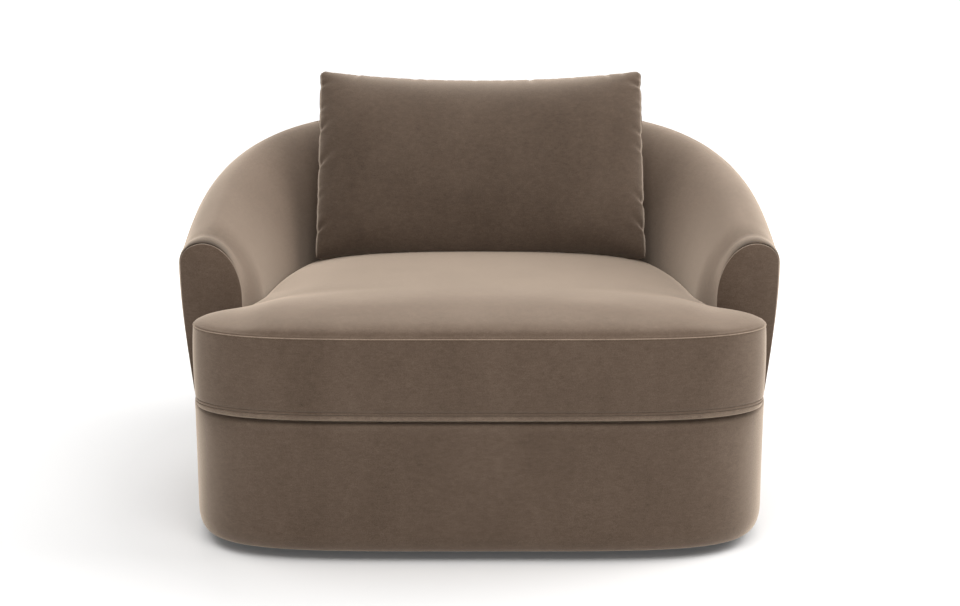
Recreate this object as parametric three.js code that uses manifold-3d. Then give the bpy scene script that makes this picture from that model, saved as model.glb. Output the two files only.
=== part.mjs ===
// A deep cuddle chair: sloping arms and a barrel back round a loose boxed seat cushion and a loose
// back pillow, on an upholstered base that turns on a hidden plinth.
// Millimetres, +Z up. The sitter faces -Y. The origin is on the floor, on the swivel axis.

import * as THREE from "three";
import { mergeVertices } from "three/addons/utils/BufferGeometryUtils.js";
import Module from "manifold-3d";

const wasm = await Module();
wasm.setup();

// Driving sizes of the whole chair
const overallWidth = 1220;
const overallDepth = 1070;
const widestReach = 385; // from the front of the seat back to the widest line
const armCornerPower = 3.1; // how square the front corners of each plan are
const baseCornerPower = 4.6;
const cushionCornerPower = 4.75;
const backCornerPower = 2.5; // the back is rounder
const deckHeight = 290; // top of the upholstered base
const backHeight = 748; // top of the back's roll
const armHeight = 600; // top of the arm just behind its facing
const facingReach = 215; // from the front of the seat back to the arm facings

// Clearances
const seamGap = 0.4; // between neighbouring fixed pieces
const runningGap = 1; // between pieces that turn past each other
const cushionGap = 2; // round the loose seat cushion
const layerGap = 1; // between the curved layers of the arms and back
const cutOverrun = 5; // how far a cutting tool passes the face that it cuts

// Materials of the layers
const coverThickness = 3;
const padMargin = coverThickness + layerGap;

// Arms and back, in section: the roll's outer quarter, then the long slope to the seat
const rollOuterSpan = 70;
const rollOuterDrop = 92;
const armThickness = 153; // at the seat, behind the facing
const backThickness = 235; // at the seat, round the back
const growthLength = 740; // from the facings back to where the wall has its full thickness
const slopeFootDrop = 2; // the inside wall stands upright from this far under the cushion's seam
const slopePower = 1.7;
const riseStartReach = 40; // the roll starts to climb this far behind the facings
const riseEndReach = 55; // and has climbed to the back's height this far before the chair's back
const risePower = 1.3;
const flareShare = 1.15; // the outside leans out over this share of the way from base to arm roll
const cornerSeamAngle = 52.5; // degrees round from the widest line to the seam at a back corner
const seamTurn = 0.05; // degrees between the arm's pieces and the back's at those seams

// Arm facings
const facingWidth = 121;
const facingDrop = 6; // its top lies this far under the top of the arm behind it
const facingThickness = 10;
const facingOuterSpan = 45;
const facingOuterDrop = 38;
const facingInnerDrop = 110;
const facingPower = 2;
const shoulderReach = 62; // the arm swells from its facing to its full section over this length

// Frame in the arms and back
const frameSetback = 20; // from the edge of the deck ring to the frame that stands on it
const railWidth = 38;
const railDepth = 42;
const railTopDrop = 64; // from the top of the roll to the top of the rail
const boardThickness = 15;
const postWidth = 46;
const armPostReach = 300; // from the facings back to the arm's post
const backPostX = 190;

// Base
const groundGap = 22; // floor to the lowest edge of the base
const baseSideInset = 33; // from the widest line of the arms to the base's side
const baseFrontInset = 9; // from the front of the seat cushion to the base's front
const baseBackInset = 24; // from the back's roll to the base's back
const footOverhang = 1.5; // how far the foot of the arms and back stands proud of the base
const baseBoardThickness = 18;
const baseWallInset = 14;
const baseWallThickness = 12;
const deckRingThickness = 18;
const deckPadThickness = 28.7;
const deckCornerRadius = 20;
const underRollReach = 17; // the cover rolls under the base this far in
const underRollHeight = 38; // from this height above its lowest line
const creaseDrop = 24; // and over the top from this far down
const hemWidth = 17; // flat hem under the base
const dustCoverThickness = 1.5;
const dustCoverDrop = 0.3;

// Springs
const springCount = 5;
const springHalfWave = 22;
const springWave = 57;
const springWireRadius = 2;
const springFrontReach = 95; // from the front of the seat back to the springs' front ends
const springBackReach = 345; // from the chair's back forward to their rear ends
const openingMargin = 14; // the ring's opening stops short of the springs' ends by this
const openingSide = 60; // and runs this far past the outer springs
const stripEndLength = 30; // the clip strips run this far past the outer springs
const stripEndRoom = 5; // and stop this far short of the arms
const clipStripWidth = 30;
const clipStripThickness = 2;
const springRoom = 1;

// Swivel
const glideHeight = 4;
const glideRadius = 22;
const glideSetback = 50; // from the plinth's edge in to the middle of a glide
const glideCount = 4;
const plinthRadius = 340;
const plinthThickness = 16;
const plateHalf = 150;
const plateThickness = 2.5;
const ballRadius = 3.2;
const ballCount = 12;
const ballCircle = 106;
const raceWidth = 4;
const raceHeight = 1.5;
const cageHalfWidth = 6.5;
const cageThickness = 1.4;
const pinRadius = 8;
const pinHeadRadius = 14;
const pinHeadHeight = 3;
const pinTravel = 1; // slack under the pin's head
const boltSetback = 25; // from the edges of the plates in to the bolts
const screwShankRadius = 2.4;
const screwHeadRadius = 5;
const screwHeadHeight = 2;
const screwLength = 13;
const pinRoomGap = 4; // round the pin's head in the base board

// Seat cushion
const cushionSideInset = 17; // from the widest line of the arms to the cushion's front outline
const cushionSeamHeight = 457;
const cushionCrown = 38;
const cushionBoxSwell = 3;
const cushionEdgeRound = 7;
const cushionRearTrim = 24; // the rear is cut straight across by this much, for the zip
const earGap = 9; // between the cushion's ears and the arm facings
const earRadius = 82;
const earStraight = 12; // least length of the straight edge behind an ear's round corner
const crownCentreGap = 7; // the crown's lines meet this far in front of the ears' rear edges
const clothThickness = 2.5;
const fillingGap = 0.6;
const zipEndRoom = 41; // from the end of the zip to the end of the cushion's straight rear
const zipWidth = 22;
const zipTapeThickness = 1;
const zipChainWidth = 5;
const zipChainHeight = 1.6;
const zipSlotHeight = 3;
const sliderLength = 10;
const sliderWidth = 9;
const sliderWall = 1.2;
const pullLength = 26;
const pullWidth = 5;

// Back pillow
const pillowHalfWidth = 364;
const pillowHeight = 446;
const pillowFrontSwell = 82;
const pillowBackSwell = 150;
const pillowLeanAngle = 30; // degrees back from upright
const pillowFootReach = 451; // from the chair's back forward to the pillow's foot
const pillowFootRise = 5; // its lower edge lies this far over the cushion's seam
const pillowZipHalfLength = 140;
const pillowWrap = 45; // its sides come forward by this much, round the sitter
const pillowSideDraw = 2; // how far each edge is drawn in between the corners
const pillowTopDraw = 8;
const pillowFootDraw = 5;
const pillowSidePower = 4; // how full it stays towards its edges
const pillowTopPower = 4;
const pillowFootPower = 8;

// How finely round things are faceted
const ringSteps = 40;
const discSteps = 36;
const holeSteps = 18;
const glideSteps = 12;
const boltSteps = 8;
const ballSteps = 5;
const wireSides = 4;
const outerRollSteps = 3;
const innerRollSteps = 5;
const baseRollSteps = 3;
const earSteps = 6;
const backSteps = 8;
const wallLevels = 3;
const backCoverLevels = 4;
const pillowColumns = 12;
const pillowRows = 8;
const solveSteps = 40;

// Where along each stretch the outlines have their points
const shoulderShare = 0.45;
const paddingStartShare = 0.5; // the base's padding starts this far round the roll under it
const frontShares = [0, 0.2, 0.4, 0.57, 0.72, 0.86]; // of the way from the middle to the ear's corner
const armAngles = [5, 13, 22, 32, 42]; // degrees round from the widest line
const seatBackAngles = [66, 78, 90];
const cushionCrownShares = [
  [0.975, 0.36], // how wide the top is at each share of its rise
  [0.905, 0.7],
  [0.76, 0.93],
  [0.42, 1],
];
const weldDistance = 1e-3;
const smallTurn = 1e-4; // radians, for measuring a direction along an outline

const radians = (degrees) => (degrees * Math.PI) / 180;
const mix = (a, b, share) => a + (b - a) * share;
const clampShare = (share) => Math.min(1, Math.max(0, share));
const range = (count) => Array.from({ length: count }, (_, i) => i);
const spread = (from, to, steps) => range(steps + 1).map((i) => mix(from, to, i / steps));

// Depths and heights that follow from the sizes above
const frontY = -overallDepth / 2;
const backY = overallDepth / 2;
const widestY = frontY + widestReach;
const armFrontY = frontY + facingReach;
const growthEndY = armFrontY + growthLength;
const riseStartY = armFrontY + riseStartReach;
const riseEndY = backY - riseEndReach;
const armPostY = armFrontY + armPostReach;
const springFrontY = frontY + springFrontReach;
const springBackY = backY - springBackReach;
const pillowFootY = backY - pillowFootReach;
const slopeFootHeight = cushionSeamHeight - slopeFootDrop;
const facingHeight = armHeight - facingDrop;
const frameInset = baseWallInset + frameSetback;
const glideCircle = plinthRadius - glideSetback;
const boltCircleHalf = plateHalf - boltSetback;
const pillowFootHeight = cushionSeamHeight + pillowFootRise;
const plinthBottom = glideHeight;
const plinthTop = plinthBottom + plinthThickness;
const lowerPlateTop = plinthTop + plateThickness;
const ballCentreHeight = lowerPlateTop + seamGap + ballRadius;
const upperPlateBottom = ballCentreHeight + ballRadius + seamGap;
const boardBottom = upperPlateBottom + plateThickness;
const boardTop = boardBottom + baseBoardThickness;
const deckCoverBottom = deckHeight - coverThickness;
const deckPadTop = deckCoverBottom - seamGap;
const deckPadBottom = deckPadTop - deckPadThickness;
const deckRingTop = deckPadBottom - seamGap;
const deckRingBottom = deckRingTop - deckRingThickness;
const cushionBottom = deckHeight + seamGap;
const zipHeight = (cushionBottom + cushionSeamHeight) / 2;
const frameFoot = deckRingTop + seamGap;
const flareTopHeight = mix(deckHeight, armHeight - rollOuterDrop, flareShare);

const COLOURS = {
  velvet: 0x7a6858,
  lining: 0x2a2826,
  foam: 0xd8cfae,
  wadding: 0xece8df,
  plywood: 0xc09a68,
  blackWood: 0x1f1d1b,
  zincSteel: 0xa6a8a8,
  springSteel: 0x5b5d60,
  rubber: 0x242424,
};
const METAL = { zincSteel: true, springSteel: true };

// A closed body from shared points and triangles, turned so that its faces point out.
function closedBody(points, triangles) {
  let volume = 0;
  for (const [a, b, c] of triangles) {
    volume += points[a].dot(new THREE.Vector3().crossVectors(points[b], points[c]));
  }
  const order = volume < 0 ? triangles.map(([a, b, c]) => [a, c, b]) : triangles;
  const geometry = new THREE.BufferGeometry();
  const positions = points.flatMap((p) => [p.x, p.y, p.z]);
  geometry.setAttribute("position", new THREE.Float32BufferAttribute(positions, 3));
  geometry.setIndex(order.flat());
  return geometry;
}

// Skins a row of equal rings. The ends are capped with the triangles of their flat shapes, or the
// row closes on itself when loop is true.
function skinRings(rings, capShape, loop = false) {
  const size = rings[0].length;
  const points = rings.flat();
  const triangles = [];
  const spans = loop ? rings.length : rings.length - 1;
  for (const i of range(spans)) {
    const next = (i + 1) % rings.length;
    for (const j of range(size)) {
      const k = (j + 1) % size;
      triangles.push([i * size + j, next * size + j, next * size + k]);
      triangles.push([i * size + j, next * size + k, i * size + k]);
    }
  }
  if (!loop) {
    const last = (rings.length - 1) * size;
    for (const [cap, start, flip] of [[capShape[0], 0, false], [capShape[1], last, true]]) {
      const shape = cap.map(([x, y]) => new THREE.Vector2(x, y));
      const turned = THREE.ShapeUtils.isClockWise(shape);
      for (const [a, b, c] of THREE.ShapeUtils.triangulateShape(shape, [])) {
        const out = turned === flip ? [a, b, c] : [a, c, b];
        triangles.push(out.map((i) => start + i));
      }
    }
  }
  return closedBody(points, orient(points, triangles));
}

// Turns the triangles so that neighbours agree, starting from the first.
function orient(points, triangles) {
  const edges = new Map();
  const key = (a, b) => (a < b ? `${a}_${b}` : `${b}_${a}`);
  triangles.forEach(([a, b, c], i) => {
    for (const [p, q] of [[a, b], [b, c], [c, a]]) {
      const name = key(p, q);
      if (!edges.has(name)) edges.set(name, []);
      edges.get(name).push(i);
    }
  });
  const done = triangles.map(() => false);
  const stack = [0];
  done[0] = true;
  while (stack.length) {
    const i = stack.pop();
    const [a, b, c] = triangles[i];
    for (const [p, q] of [[a, b], [b, c], [c, a]]) {
      for (const j of edges.get(key(p, q))) {
        if (done[j]) continue;
        const t = triangles[j];
        const same = t.some((v, n) => v === p && t[(n + 1) % 3] === q);
        if (same) triangles[j] = [t[0], t[2], t[1]];
        done[j] = true;
        stack.push(j);
      }
    }
  }
  return triangles;
}

// Solids for cutting and joining
function solidOf(geometry) {
  const bare = geometry.index ? geometry.toNonIndexed() : geometry.clone();
  bare.deleteAttribute("normal");
  bare.deleteAttribute("uv");
  const merged = mergeVertices(bare, weldDistance);
  return new wasm.Manifold(
    new wasm.Mesh({
      numProp: 3,
      vertProperties: new Float32Array(merged.attributes.position.array),
      triVerts: new Uint32Array(merged.index.array),
    }),
  );
}

function geometryOf(solid) {
  const mesh = solid.getMesh();
  const geometry = new THREE.BufferGeometry();
  geometry.setAttribute("position", new THREE.BufferAttribute(mesh.vertProperties, 3));
  geometry.setIndex(new THREE.BufferAttribute(mesh.triVerts, 1));
  return geometry;
}

const cut = (geometry, ...tools) =>
  geometryOf(tools.reduce((left, tool) => left.subtract(solidOf(tool)), solidOf(geometry)));
const join = (first, ...others) =>
  geometryOf(others.reduce((sum, other) => sum.add(solidOf(other)), solidOf(first)));

function mirrored(geometry) {
  const flipped = (geometry.index ? geometry : mergeVertices(geometry)).clone().scale(-1, 1, 1);
  const index = Array.from(flipped.index.array);
  for (let i = 0; i < index.length; i += 3) [index[i + 1], index[i + 2]] = [index[i + 2], index[i + 1]];
  flipped.setIndex(index);
  return flipped;
}

function lathe(profile, steps) {
  const points = profile.map(([r, z]) => new THREE.Vector2(r, z));
  return new THREE.LatheGeometry(points, steps).rotateX(Math.PI / 2);
}

const rod = (radius, low, high, steps) =>
  new THREE.CylinderGeometry(radius, radius, high - low, steps)
    .rotateX(Math.PI / 2)
    .translate(0, 0, (low + high) / 2);

const block = (x0, x1, y0, y1, z0, z1) =>
  new THREE.BoxGeometry(x1 - x0, y1 - y0, z1 - z0).translate((x0 + x1) / 2, (y0 + y1) / 2, (z0 + z1) / 2);

// The value between two others at which a rising measure passes nought.
function solve(from, to, measure) {
  let [low, high] = [from, to];
  for (const _ of range(solveSteps)) {
    const middle = (low + high) / 2;
    if (measure(middle) < 0) low = middle;
    else high = middle;
  }
  return low;
}

// Plan outlines: two half superellipses that meet on the widest line. The angle runs from the right
// side (0) to the back (90 degrees), the left side and the front.
const rim = { half: overallWidth / 2, front: frontY, back: backY, cornerPower: armCornerPower };
const base = {
  half: rim.half - baseSideInset,
  front: rim.front + baseFrontInset,
  back: rim.back - baseBackInset,
  cornerPower: baseCornerPower,
};
const cushionFront = { ...rim, half: rim.half - cushionSideInset, cornerPower: cushionCornerPower };

function planPoint(outline, angle) {
  const c = Math.cos(angle);
  const s = Math.sin(angle);
  const ahead = s < 0;
  const power = 2 / (ahead ? outline.cornerPower : backCornerPower);
  const reach = ahead ? widestY - outline.front : outline.back - widestY;
  return new THREE.Vector2(
    outline.half * Math.sign(c) * Math.abs(c) ** power,
    widestY + reach * Math.sign(s) * Math.abs(s) ** power,
  );
}

function inwardNormal(outline, angle) {
  const ahead = planPoint(outline, angle + smallTurn);
  const along = ahead.sub(planPoint(outline, angle - smallTurn)).normalize();
  return new THREE.Vector2(-along.y, along.x);
}

// A ring round the base, inset from its outline by each [inset, height] of the profile.
const ringAngle = (i) => (i + 0.5) * ((2 * Math.PI) / ringSteps);
function baseRing(profile) {
  const rings = range(ringSteps).map((i) => {
    const angle = ringAngle(i);
    const p = planPoint(base, angle);
    const n = inwardNormal(base, angle);
    return profile.map(([inset, z]) => new THREE.Vector3(p.x + n.x * inset, p.y + n.y * inset, z));
  });
  return skinRings(rings, null, true);
}

// A flat sheet of any plan shape between two heights.
function sheetOf(points, low, high) {
  const shape = new THREE.Shape(points.map((p) => new THREE.Vector2(p.x, p.y)));
  return new THREE.ExtrudeGeometry(shape, { depth: high - low, bevelEnabled: false }).translate(0, 0, low);
}

const baseOutline = (inset) =>
  range(ringSteps).map((i) => {
    const angle = ringAngle(i);
    return planPoint(base, angle).addScaledVector(inwardNormal(base, angle), inset);
  });

// Half the width of the front part of an outline at a depth.
const halfWidthAt = (outline, y) =>
  outline.half *
  (1 - ((widestY - y) / (widestY - outline.front)) ** outline.cornerPower) ** (1 / outline.cornerPower);

// Stations along the right-hand wall, from the arm's front round to the middle of the back and on.
// The foot's inset is how far the wall leans in at the top of the base.
function stationAtY(y) {
  const half = halfWidthAt(rim, y);
  const footInset = half - halfWidthAt(base, y) - footOverhang;
  return station(new THREE.Vector2(half, y), footInset, new THREE.Vector2(-1, 0));
}

function stationAtAngle(degrees) {
  const angle = radians(degrees);
  const point = planPoint(rim, angle);
  const normal = inwardNormal(rim, angle);
  const footInset = planPoint(base, angle).sub(point).dot(normal) - footOverhang;
  return station(point, footInset, normal);
}

// The wall's section at a station. Just behind the facing it swells from the facing's own section.
function station(point, footInset, normal) {
  const y = point.y;
  const swell = clampShare((y - wallStartY) / shoulderReach);
  const shoulder = Math.sqrt(1 - (1 - swell) ** 2);
  const rise = 1 - (1 - clampShare((y - riseStartY) / (riseEndY - riseStartY))) ** risePower;
  const growth = clampShare((y - armFrontY) / (growthEndY - armFrontY));
  const fullHeight = mix(armHeight, backHeight, rise);
  const fullThickness = mix(armThickness, backThickness, growth);
  return {
    point,
    footInset,
    normal,
    height: mix(facingHeight, fullHeight, shoulder),
    thickness: mix(facingWidth, fullThickness, shoulder),
    outerSpan: mix(facingOuterSpan, rollOuterSpan, shoulder),
    outerDrop: mix(facingOuterDrop, rollOuterDrop, shoulder),
    innerDrop: mix(facingInnerDrop, fullHeight - slopeFootHeight, shoulder),
    power: mix(facingPower, slopePower, shoulder),
  };
}

// A point of the wall: inset from its outside, at a height. The outside leans in towards the base.
function wallPoint(at, inset, z) {
  const upright = Math.sin((Math.PI / 2) * clampShare((z - deckHeight) / (flareTopHeight - deckHeight)));
  const lean = (1 - upright) * (1 - clampShare(inset / at.thickness));
  const p = at.point.clone().addScaledVector(at.normal, inset + lean * at.footInset);
  return new THREE.Vector3(p.x, p.y, z);
}

// The wall's outline in section, from the outside edge of the roll over to the foot inside, as
// [inset, height] pairs, drawn in by a margin.
function rollLine(at, margin, foot) {
  const line = [];
  for (const turn of spread(0, Math.PI / 2, outerRollSteps)) {
    line.push([
      at.outerSpan - (at.outerSpan - margin) * Math.cos(turn),
      at.height - at.outerDrop + (at.outerDrop - margin) * Math.sin(turn),
    ]);
  }
  const span = at.thickness - at.outerSpan - margin;
  for (const turn of spread(0, Math.PI / 2, innerRollSteps).slice(1)) {
    line.push([
      at.outerSpan + span * Math.sin(turn) ** (2 / at.power),
      at.height - at.innerDrop + (at.innerDrop - margin) * Math.max(0, Math.cos(turn)) ** (2 / at.power),
    ]);
  }
  line.push([at.thickness - margin, foot]);
  return line;
}

// Sweeps a section, given for each station as [inset, height] pairs, along the wall.
function sweepWall(stations, sectionAt) {
  const sections = stations.map(sectionAt);
  const rings = sections.map((section, i) => section.map(([inset, z]) => wallPoint(stations[i], inset, z)));
  return skinRings(rings, [sections[0], sections[sections.length - 1]]);
}

const wallStartY = armFrontY + facingThickness + seamGap;
const shoulderEndY = wallStartY + shoulderReach;
const padStartY = wallStartY + boardThickness + seamGap;
const armStations = (startY) =>
  [
    wallStartY,
    padStartY,
    mix(padStartY, shoulderEndY, shoulderShare),
    shoulderEndY,
    (shoulderEndY + widestY) / 2,
    widestY,
  ]
    .filter((y) => y >= startY)
    .map(stationAtY)
    .concat([...armAngles, cornerSeamAngle].map(stationAtAngle));
const straightAngle = 180;
const backStations = (margin) =>
  spread(cornerSeamAngle + margin, straightAngle - cornerSeamAngle - margin, backSteps).map(stationAtAngle);

// Sections of the wall's layers
const insideCoverSection = (at) => [
  ...rollLine(at, 0, frameFoot),
  ...rollLine(at, coverThickness, frameFoot).reverse(),
];
const padInside = frameInset + railWidth + layerGap;
const padOutside = frameInset - layerGap;
const padSection = (at) =>
  [
    ...rollLine(at, padMargin, frameFoot),
    [padInside, frameFoot],
    [padInside, at.height - railTopDrop + layerGap],
    [padOutside, at.height - railTopDrop + layerGap],
    [padOutside, at.height - at.outerDrop],
  ].reverse();
const outsideFoot = deckHeight + seamGap;
const outsideTop = (at) => at.height - at.outerDrop - seamGap;
function slabSection(outer, inner, low, high, levels) {
  const heights = spread(low, high, levels);
  return [...heights.map((z) => [outer, z]), ...heights.reverse().map((z) => [inner, z])];
}
const outsideCoverSection = (levels) => (at) =>
  slabSection(0, coverThickness, outsideFoot, outsideTop(at), levels);
const railTop = (at) => at.height - railTopDrop;
const railFoot = (at) => railTop(at) - railDepth;
const frameInside = frameInset + railWidth;
const railSection = (at) => slabSection(frameInset, frameInside, railFoot(at), railTop(at), 1);
const postTop = (at) => Math.min(railFoot(at), at.height - at.outerDrop) - layerGap;
const postSection = (at) =>
  slabSection(frameInset, frameInside, frameFoot, postTop(at), wallLevels);

// A plate across the front of the arm, with the wall's section drawn in by an inset.
const facingPlate = (face, thickness, inset, foot) =>
  sweepWall([face, face + thickness].map(stationAtY), (at) => [
    ...rollLine(at, inset, foot),
    [inset, foot],
  ]);

function armPost() {
  const stations = [armPostY - postWidth / 2, armPostY + postWidth / 2].map(stationNearY);
  return sweepWall(stations, postSection);
}

// The station on the back half of the wall whose outside lies at a given depth or side.
const rimAt = (degrees) => planPoint(rim, radians(degrees));
const stationNearY = (y) => stationAtAngle(solve(0, 90, (degrees) => rimAt(degrees).y - y));
const stationNearX = (x) => stationAtAngle(solve(0, 90, (degrees) => x - rimAt(degrees).x));

function backPost() {
  const stations = [backPostX + postWidth / 2, backPostX - postWidth / 2].map(stationNearX);
  return sweepWall(stations, postSection);
}

// Plan of the seat between and in front of the arms, from the front centre round the right-hand side
// to the rear centre, then back along the left. In front of each arm it has an ear with a round
// corner, which runs smoothly out of the front outline.
function seatPlan(front, gap, rearY, earBack, wantedRadius) {
  const facing = stationAtY(armFrontY);
  const facingX = facing.point.x - facing.thickness - gap;
  const reach = (radius) => facingX + earStraight - earCorner(front, earBack, radius).centre.x;
  const radius = solve(0, wantedRadius, reach);
  const corner = earCorner(front, earBack, radius);
  const half = frontShares.map((share) =>
    planPoint(front, mix(-Math.PI / 2, corner.angle, share)),
  );
  for (const turn of spread(corner.turn, Math.PI / 2, earSteps)) {
    half.push(
      new THREE.Vector2(
        corner.centre.x + radius * Math.cos(turn),
        corner.centre.y + radius * Math.sin(turn),
      ),
    );
  }
  half.push(new THREE.Vector2(facingX, earBack), new THREE.Vector2(facingX, wallStartY));
  for (const at of armStations(padStartY).concat(seatBackAngles.map(stationAtAngle))) {
    const p = at.point.clone().addScaledVector(at.normal, at.thickness + gap);
    half.push(new THREE.Vector2(Math.max(p.x, 0), Math.min(p.y, rearY)));
  }
  const left = half.slice(1, -1).map((p) => new THREE.Vector2(-p.x, p.y));
  return [...half, ...left.reverse()];
}

// Where a round corner of a given radius, which ends on the ear's rear edge, leaves the front outline.
function earCorner(front, earBack, radius) {
  const centreAt = (angle) => planPoint(front, angle).addScaledVector(inwardNormal(front, angle), radius);
  const angle = solve(-Math.PI / 2, 0, (a) => centreAt(a).y - earBack + radius);
  const centre = centreAt(angle);
  const leave = planPoint(front, angle).sub(centre);
  return { angle, centre, turn: Math.atan2(leave.y, leave.x) };
}

const seatRearY = rim.back - backThickness - cushionGap - cushionRearTrim;

// The seat cushion's body, drawn in by a margin: flat under, swelling at the sides, crowned on top.
function cushionBody(margin) {
  const plan = seatPlan(cushionFront, cushionGap, seatRearY, armFrontY - earGap, earRadius);
  const centre = new THREE.Vector2(0, armFrontY - earGap - crownCentreGap);
  const normals = plan.map((p, i) => {
    const before = plan[(i + plan.length - 1) % plan.length];
    const after = plan[(i + 1) % plan.length];
    const along = after.clone().sub(before).normalize();
    return new THREE.Vector2(-along.y, along.x);
  });
  const sideRing = (inset, z) =>
    plan.map((p, i) => {
      const q = p.clone().addScaledVector(normals[i], inset + margin);
      return new THREE.Vector3(q.x, q.y, z);
    });
  const topRing = (share, rise) =>
    plan.map((p, i) => {
      const q = p.clone().addScaledVector(normals[i], cushionEdgeRound + margin).sub(centre);
      q.multiplyScalar(share).add(centre);
      return new THREE.Vector3(q.x, q.y, cushionSeamHeight + cushionCrown * rise - margin);
    });
  const low = cushionBottom + margin;
  const rings = [
    sideRing(cushionEdgeRound, low),
    sideRing(cushionBoxSwell, low + cushionEdgeRound),
    sideRing(0, mix(low, cushionSeamHeight, 0.5)),
    sideRing(cushionBoxSwell, cushionSeamHeight - margin),
    ...cushionCrownShares.map(([width, rise]) => topRing(width, rise)),
  ];
  const flat = (ring) => ring.map((p) => [p.x, p.y]);
  return skinRings(rings, [flat(rings[0]), flat(rings[rings.length - 1])]);
}

// The back pillow's body: two swelling faces that meet in a knife edge, with drawn-in sides.
function pillowBody(margin) {
  const columns = pillowColumns;
  const rows = pillowRows;
  const edgeDraw = 1 - margin / pillowHalfWidth;
  const at = (u, v, side) => {
    const power = v < 0 ? pillowFootPower : pillowTopPower;
    const draw = v < 0 ? pillowFootDraw : pillowTopDraw;
    const across = 1 - Math.abs(u) ** pillowSidePower;
    const swell = Math.sqrt(Math.max(0, across * (1 - Math.abs(v) ** power)));
    const reach = side < 0 ? pillowFrontSwell - margin : pillowBackSwell - margin;
    const x = (pillowHalfWidth - pillowSideDraw * (1 - v ** 2)) * u * edgeDraw;
    const z = pillowHeight / 2 + (pillowHeight / 2 - draw * across) * v * edgeDraw;
    return new THREE.Vector3(x, side * reach * swell - pillowWrap * u ** 2, z);
  };
  const points = [];
  const number = new Map();
  const pointNumber = (i, j, side) => {
    const edge = i === 0 || j === 0 || i === columns || j === rows;
    const name = `${i}_${j}_${edge ? 0 : side}`;
    if (!number.has(name)) {
      number.set(name, points.length);
      const easedU = Math.sin((Math.PI / 2) * ((2 * i) / columns - 1));
      const easedV = Math.sin((Math.PI / 2) * ((2 * j) / rows - 1));
      points.push(at(easedU, easedV, side));
    }
    return number.get(name);
  };
  const triangles = [];
  for (const side of [-1, 1]) {
    for (const i of range(columns)) {
      for (const j of range(rows)) {
        const a = pointNumber(i, j, side);
        const b = pointNumber(i + 1, j, side);
        const c = pointNumber(i + 1, j + 1, side);
        const d = pointNumber(i, j + 1, side);
        const inner = (i < columns / 2) === (j < rows / 2);
        if (inner) triangles.push([a, b, c], [a, c, d]);
        else triangles.push([a, b, d], [b, c, d]);
      }
    }
  }
  return closedBody(points, orient(points, triangles))
    .rotateX(-radians(pillowLeanAngle))
    .translate(0, pillowFootY, pillowFootHeight);
}

// The whole wall as one tool that keeps loose things clear of it.
function wallTool(clearance) {
  const section = (at) => [...rollLine(at, -clearance, deckHeight), [0, deckHeight]];
  const arm = sweepWall(armStations(armFrontY), section);
  return join(arm, sweepWall(backStations(-seamTurn), section), mirrored(arm));
}

// The right-hand wall's inner face in plan, and half the width of the seat at a depth
function innerFace(degrees) {
  const at = stationAtAngle(degrees);
  return at.point.clone().addScaledVector(at.normal, at.thickness);
}
const seatHalfAt = (y) => innerFace(solve(0, 90, (degrees) => innerFace(degrees).y - y)).x;

// Springs, spread over the seat between the arms
const stripHalf = seatHalfAt(springBackY - openingMargin + runningGap + clipStripWidth) - stripEndRoom;
const springReach = stripHalf - stripEndLength;
const springPitch = (2 * (springReach - springHalfWave)) / (springCount - 1);
const springLow = deckRingTop + clipStripThickness + 2 * seamGap;
function springBody(x) {
  const points = [];
  const bars = Math.floor((springBackY - springFrontY) / springWave);
  const start = (springFrontY + springBackY - bars * springWave) / 2;
  const corner = springWave / 4;
  const height = springLow + springWireRadius;
  for (const i of range(bars + 1)) {
    const y = start + i * springWave;
    const side = i % 2 ? 1 : -1;
    if (i > 0) points.push([-side * springHalfWave, y - corner], [-side * (springHalfWave - corner), y]);
    else points.push([-side * springHalfWave, y]);
    if (i < bars) points.push([side * (springHalfWave - corner), y], [side * springHalfWave, y + corner]);
    else points.push([side * springHalfWave, y]);
  }
  const path = points.map(([dx, y]) => new THREE.Vector3(x + dx, y, height));
  const rings = path.map((p, i) => {
    const before = path[Math.max(i - 1, 0)];
    const after = path[Math.min(i + 1, path.length - 1)];
    const along = after.clone().sub(before).normalize();
    const across = new THREE.Vector3(-along.y, along.x, 0);
    return range(wireSides).map((k) => {
      const turn = (2 * Math.PI * k) / wireSides;
      return p
        .clone()
        .addScaledVector(across, springWireRadius * Math.cos(turn))
        .add(new THREE.Vector3(0, 0, springWireRadius * Math.sin(turn)));
    });
  });
  const disc = range(wireSides).map((k) => {
    const turn = (2 * Math.PI * k) / wireSides;
    return [Math.cos(turn), Math.sin(turn)];
  });
  return skinRings(rings, [disc, disc]);
}

// Swivel pieces
const screwHole = (low, high) => rod(screwShankRadius + seamGap, low, high, boltSteps);
const plateCorners = [
  [1, 1],
  [-1, 1],
  [-1, -1],
  [1, -1],
];
const atCorner = (geometry, [sx, sy]) =>
  geometry.clone().translate(sx * boltCircleHalf, sy * boltCircleHalf, 0);
const raceRing = (radius, low, high) =>
  lathe(
    [
      [radius, low],
      [radius + raceWidth, low],
      [radius + raceWidth, high],
      [radius, high],
      [radius, low],
    ],
    holeSteps,
  );
const raceInner = ballCircle - cageHalfWidth - runningGap - raceWidth;
const raceOuter = ballCircle + cageHalfWidth + runningGap;

function turntablePlate(low, raceLow, raceHigh, hole) {
  const plate = block(-plateHalf, plateHalf, -plateHalf, plateHalf, low, low + plateThickness);
  const raced = join(plate, raceRing(raceInner, raceLow, raceHigh), raceRing(raceOuter, raceLow, raceHigh));
  const pinHole = rod(hole, low - cutOverrun, low + plateThickness + cutOverrun, holeSteps);
  const shankHole = screwHole(low - cutOverrun, low + plateThickness + cutOverrun);
  return cut(raced, pinHole, ...plateCorners.map((corner) => atCorner(shankHole, corner)));
}

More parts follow.
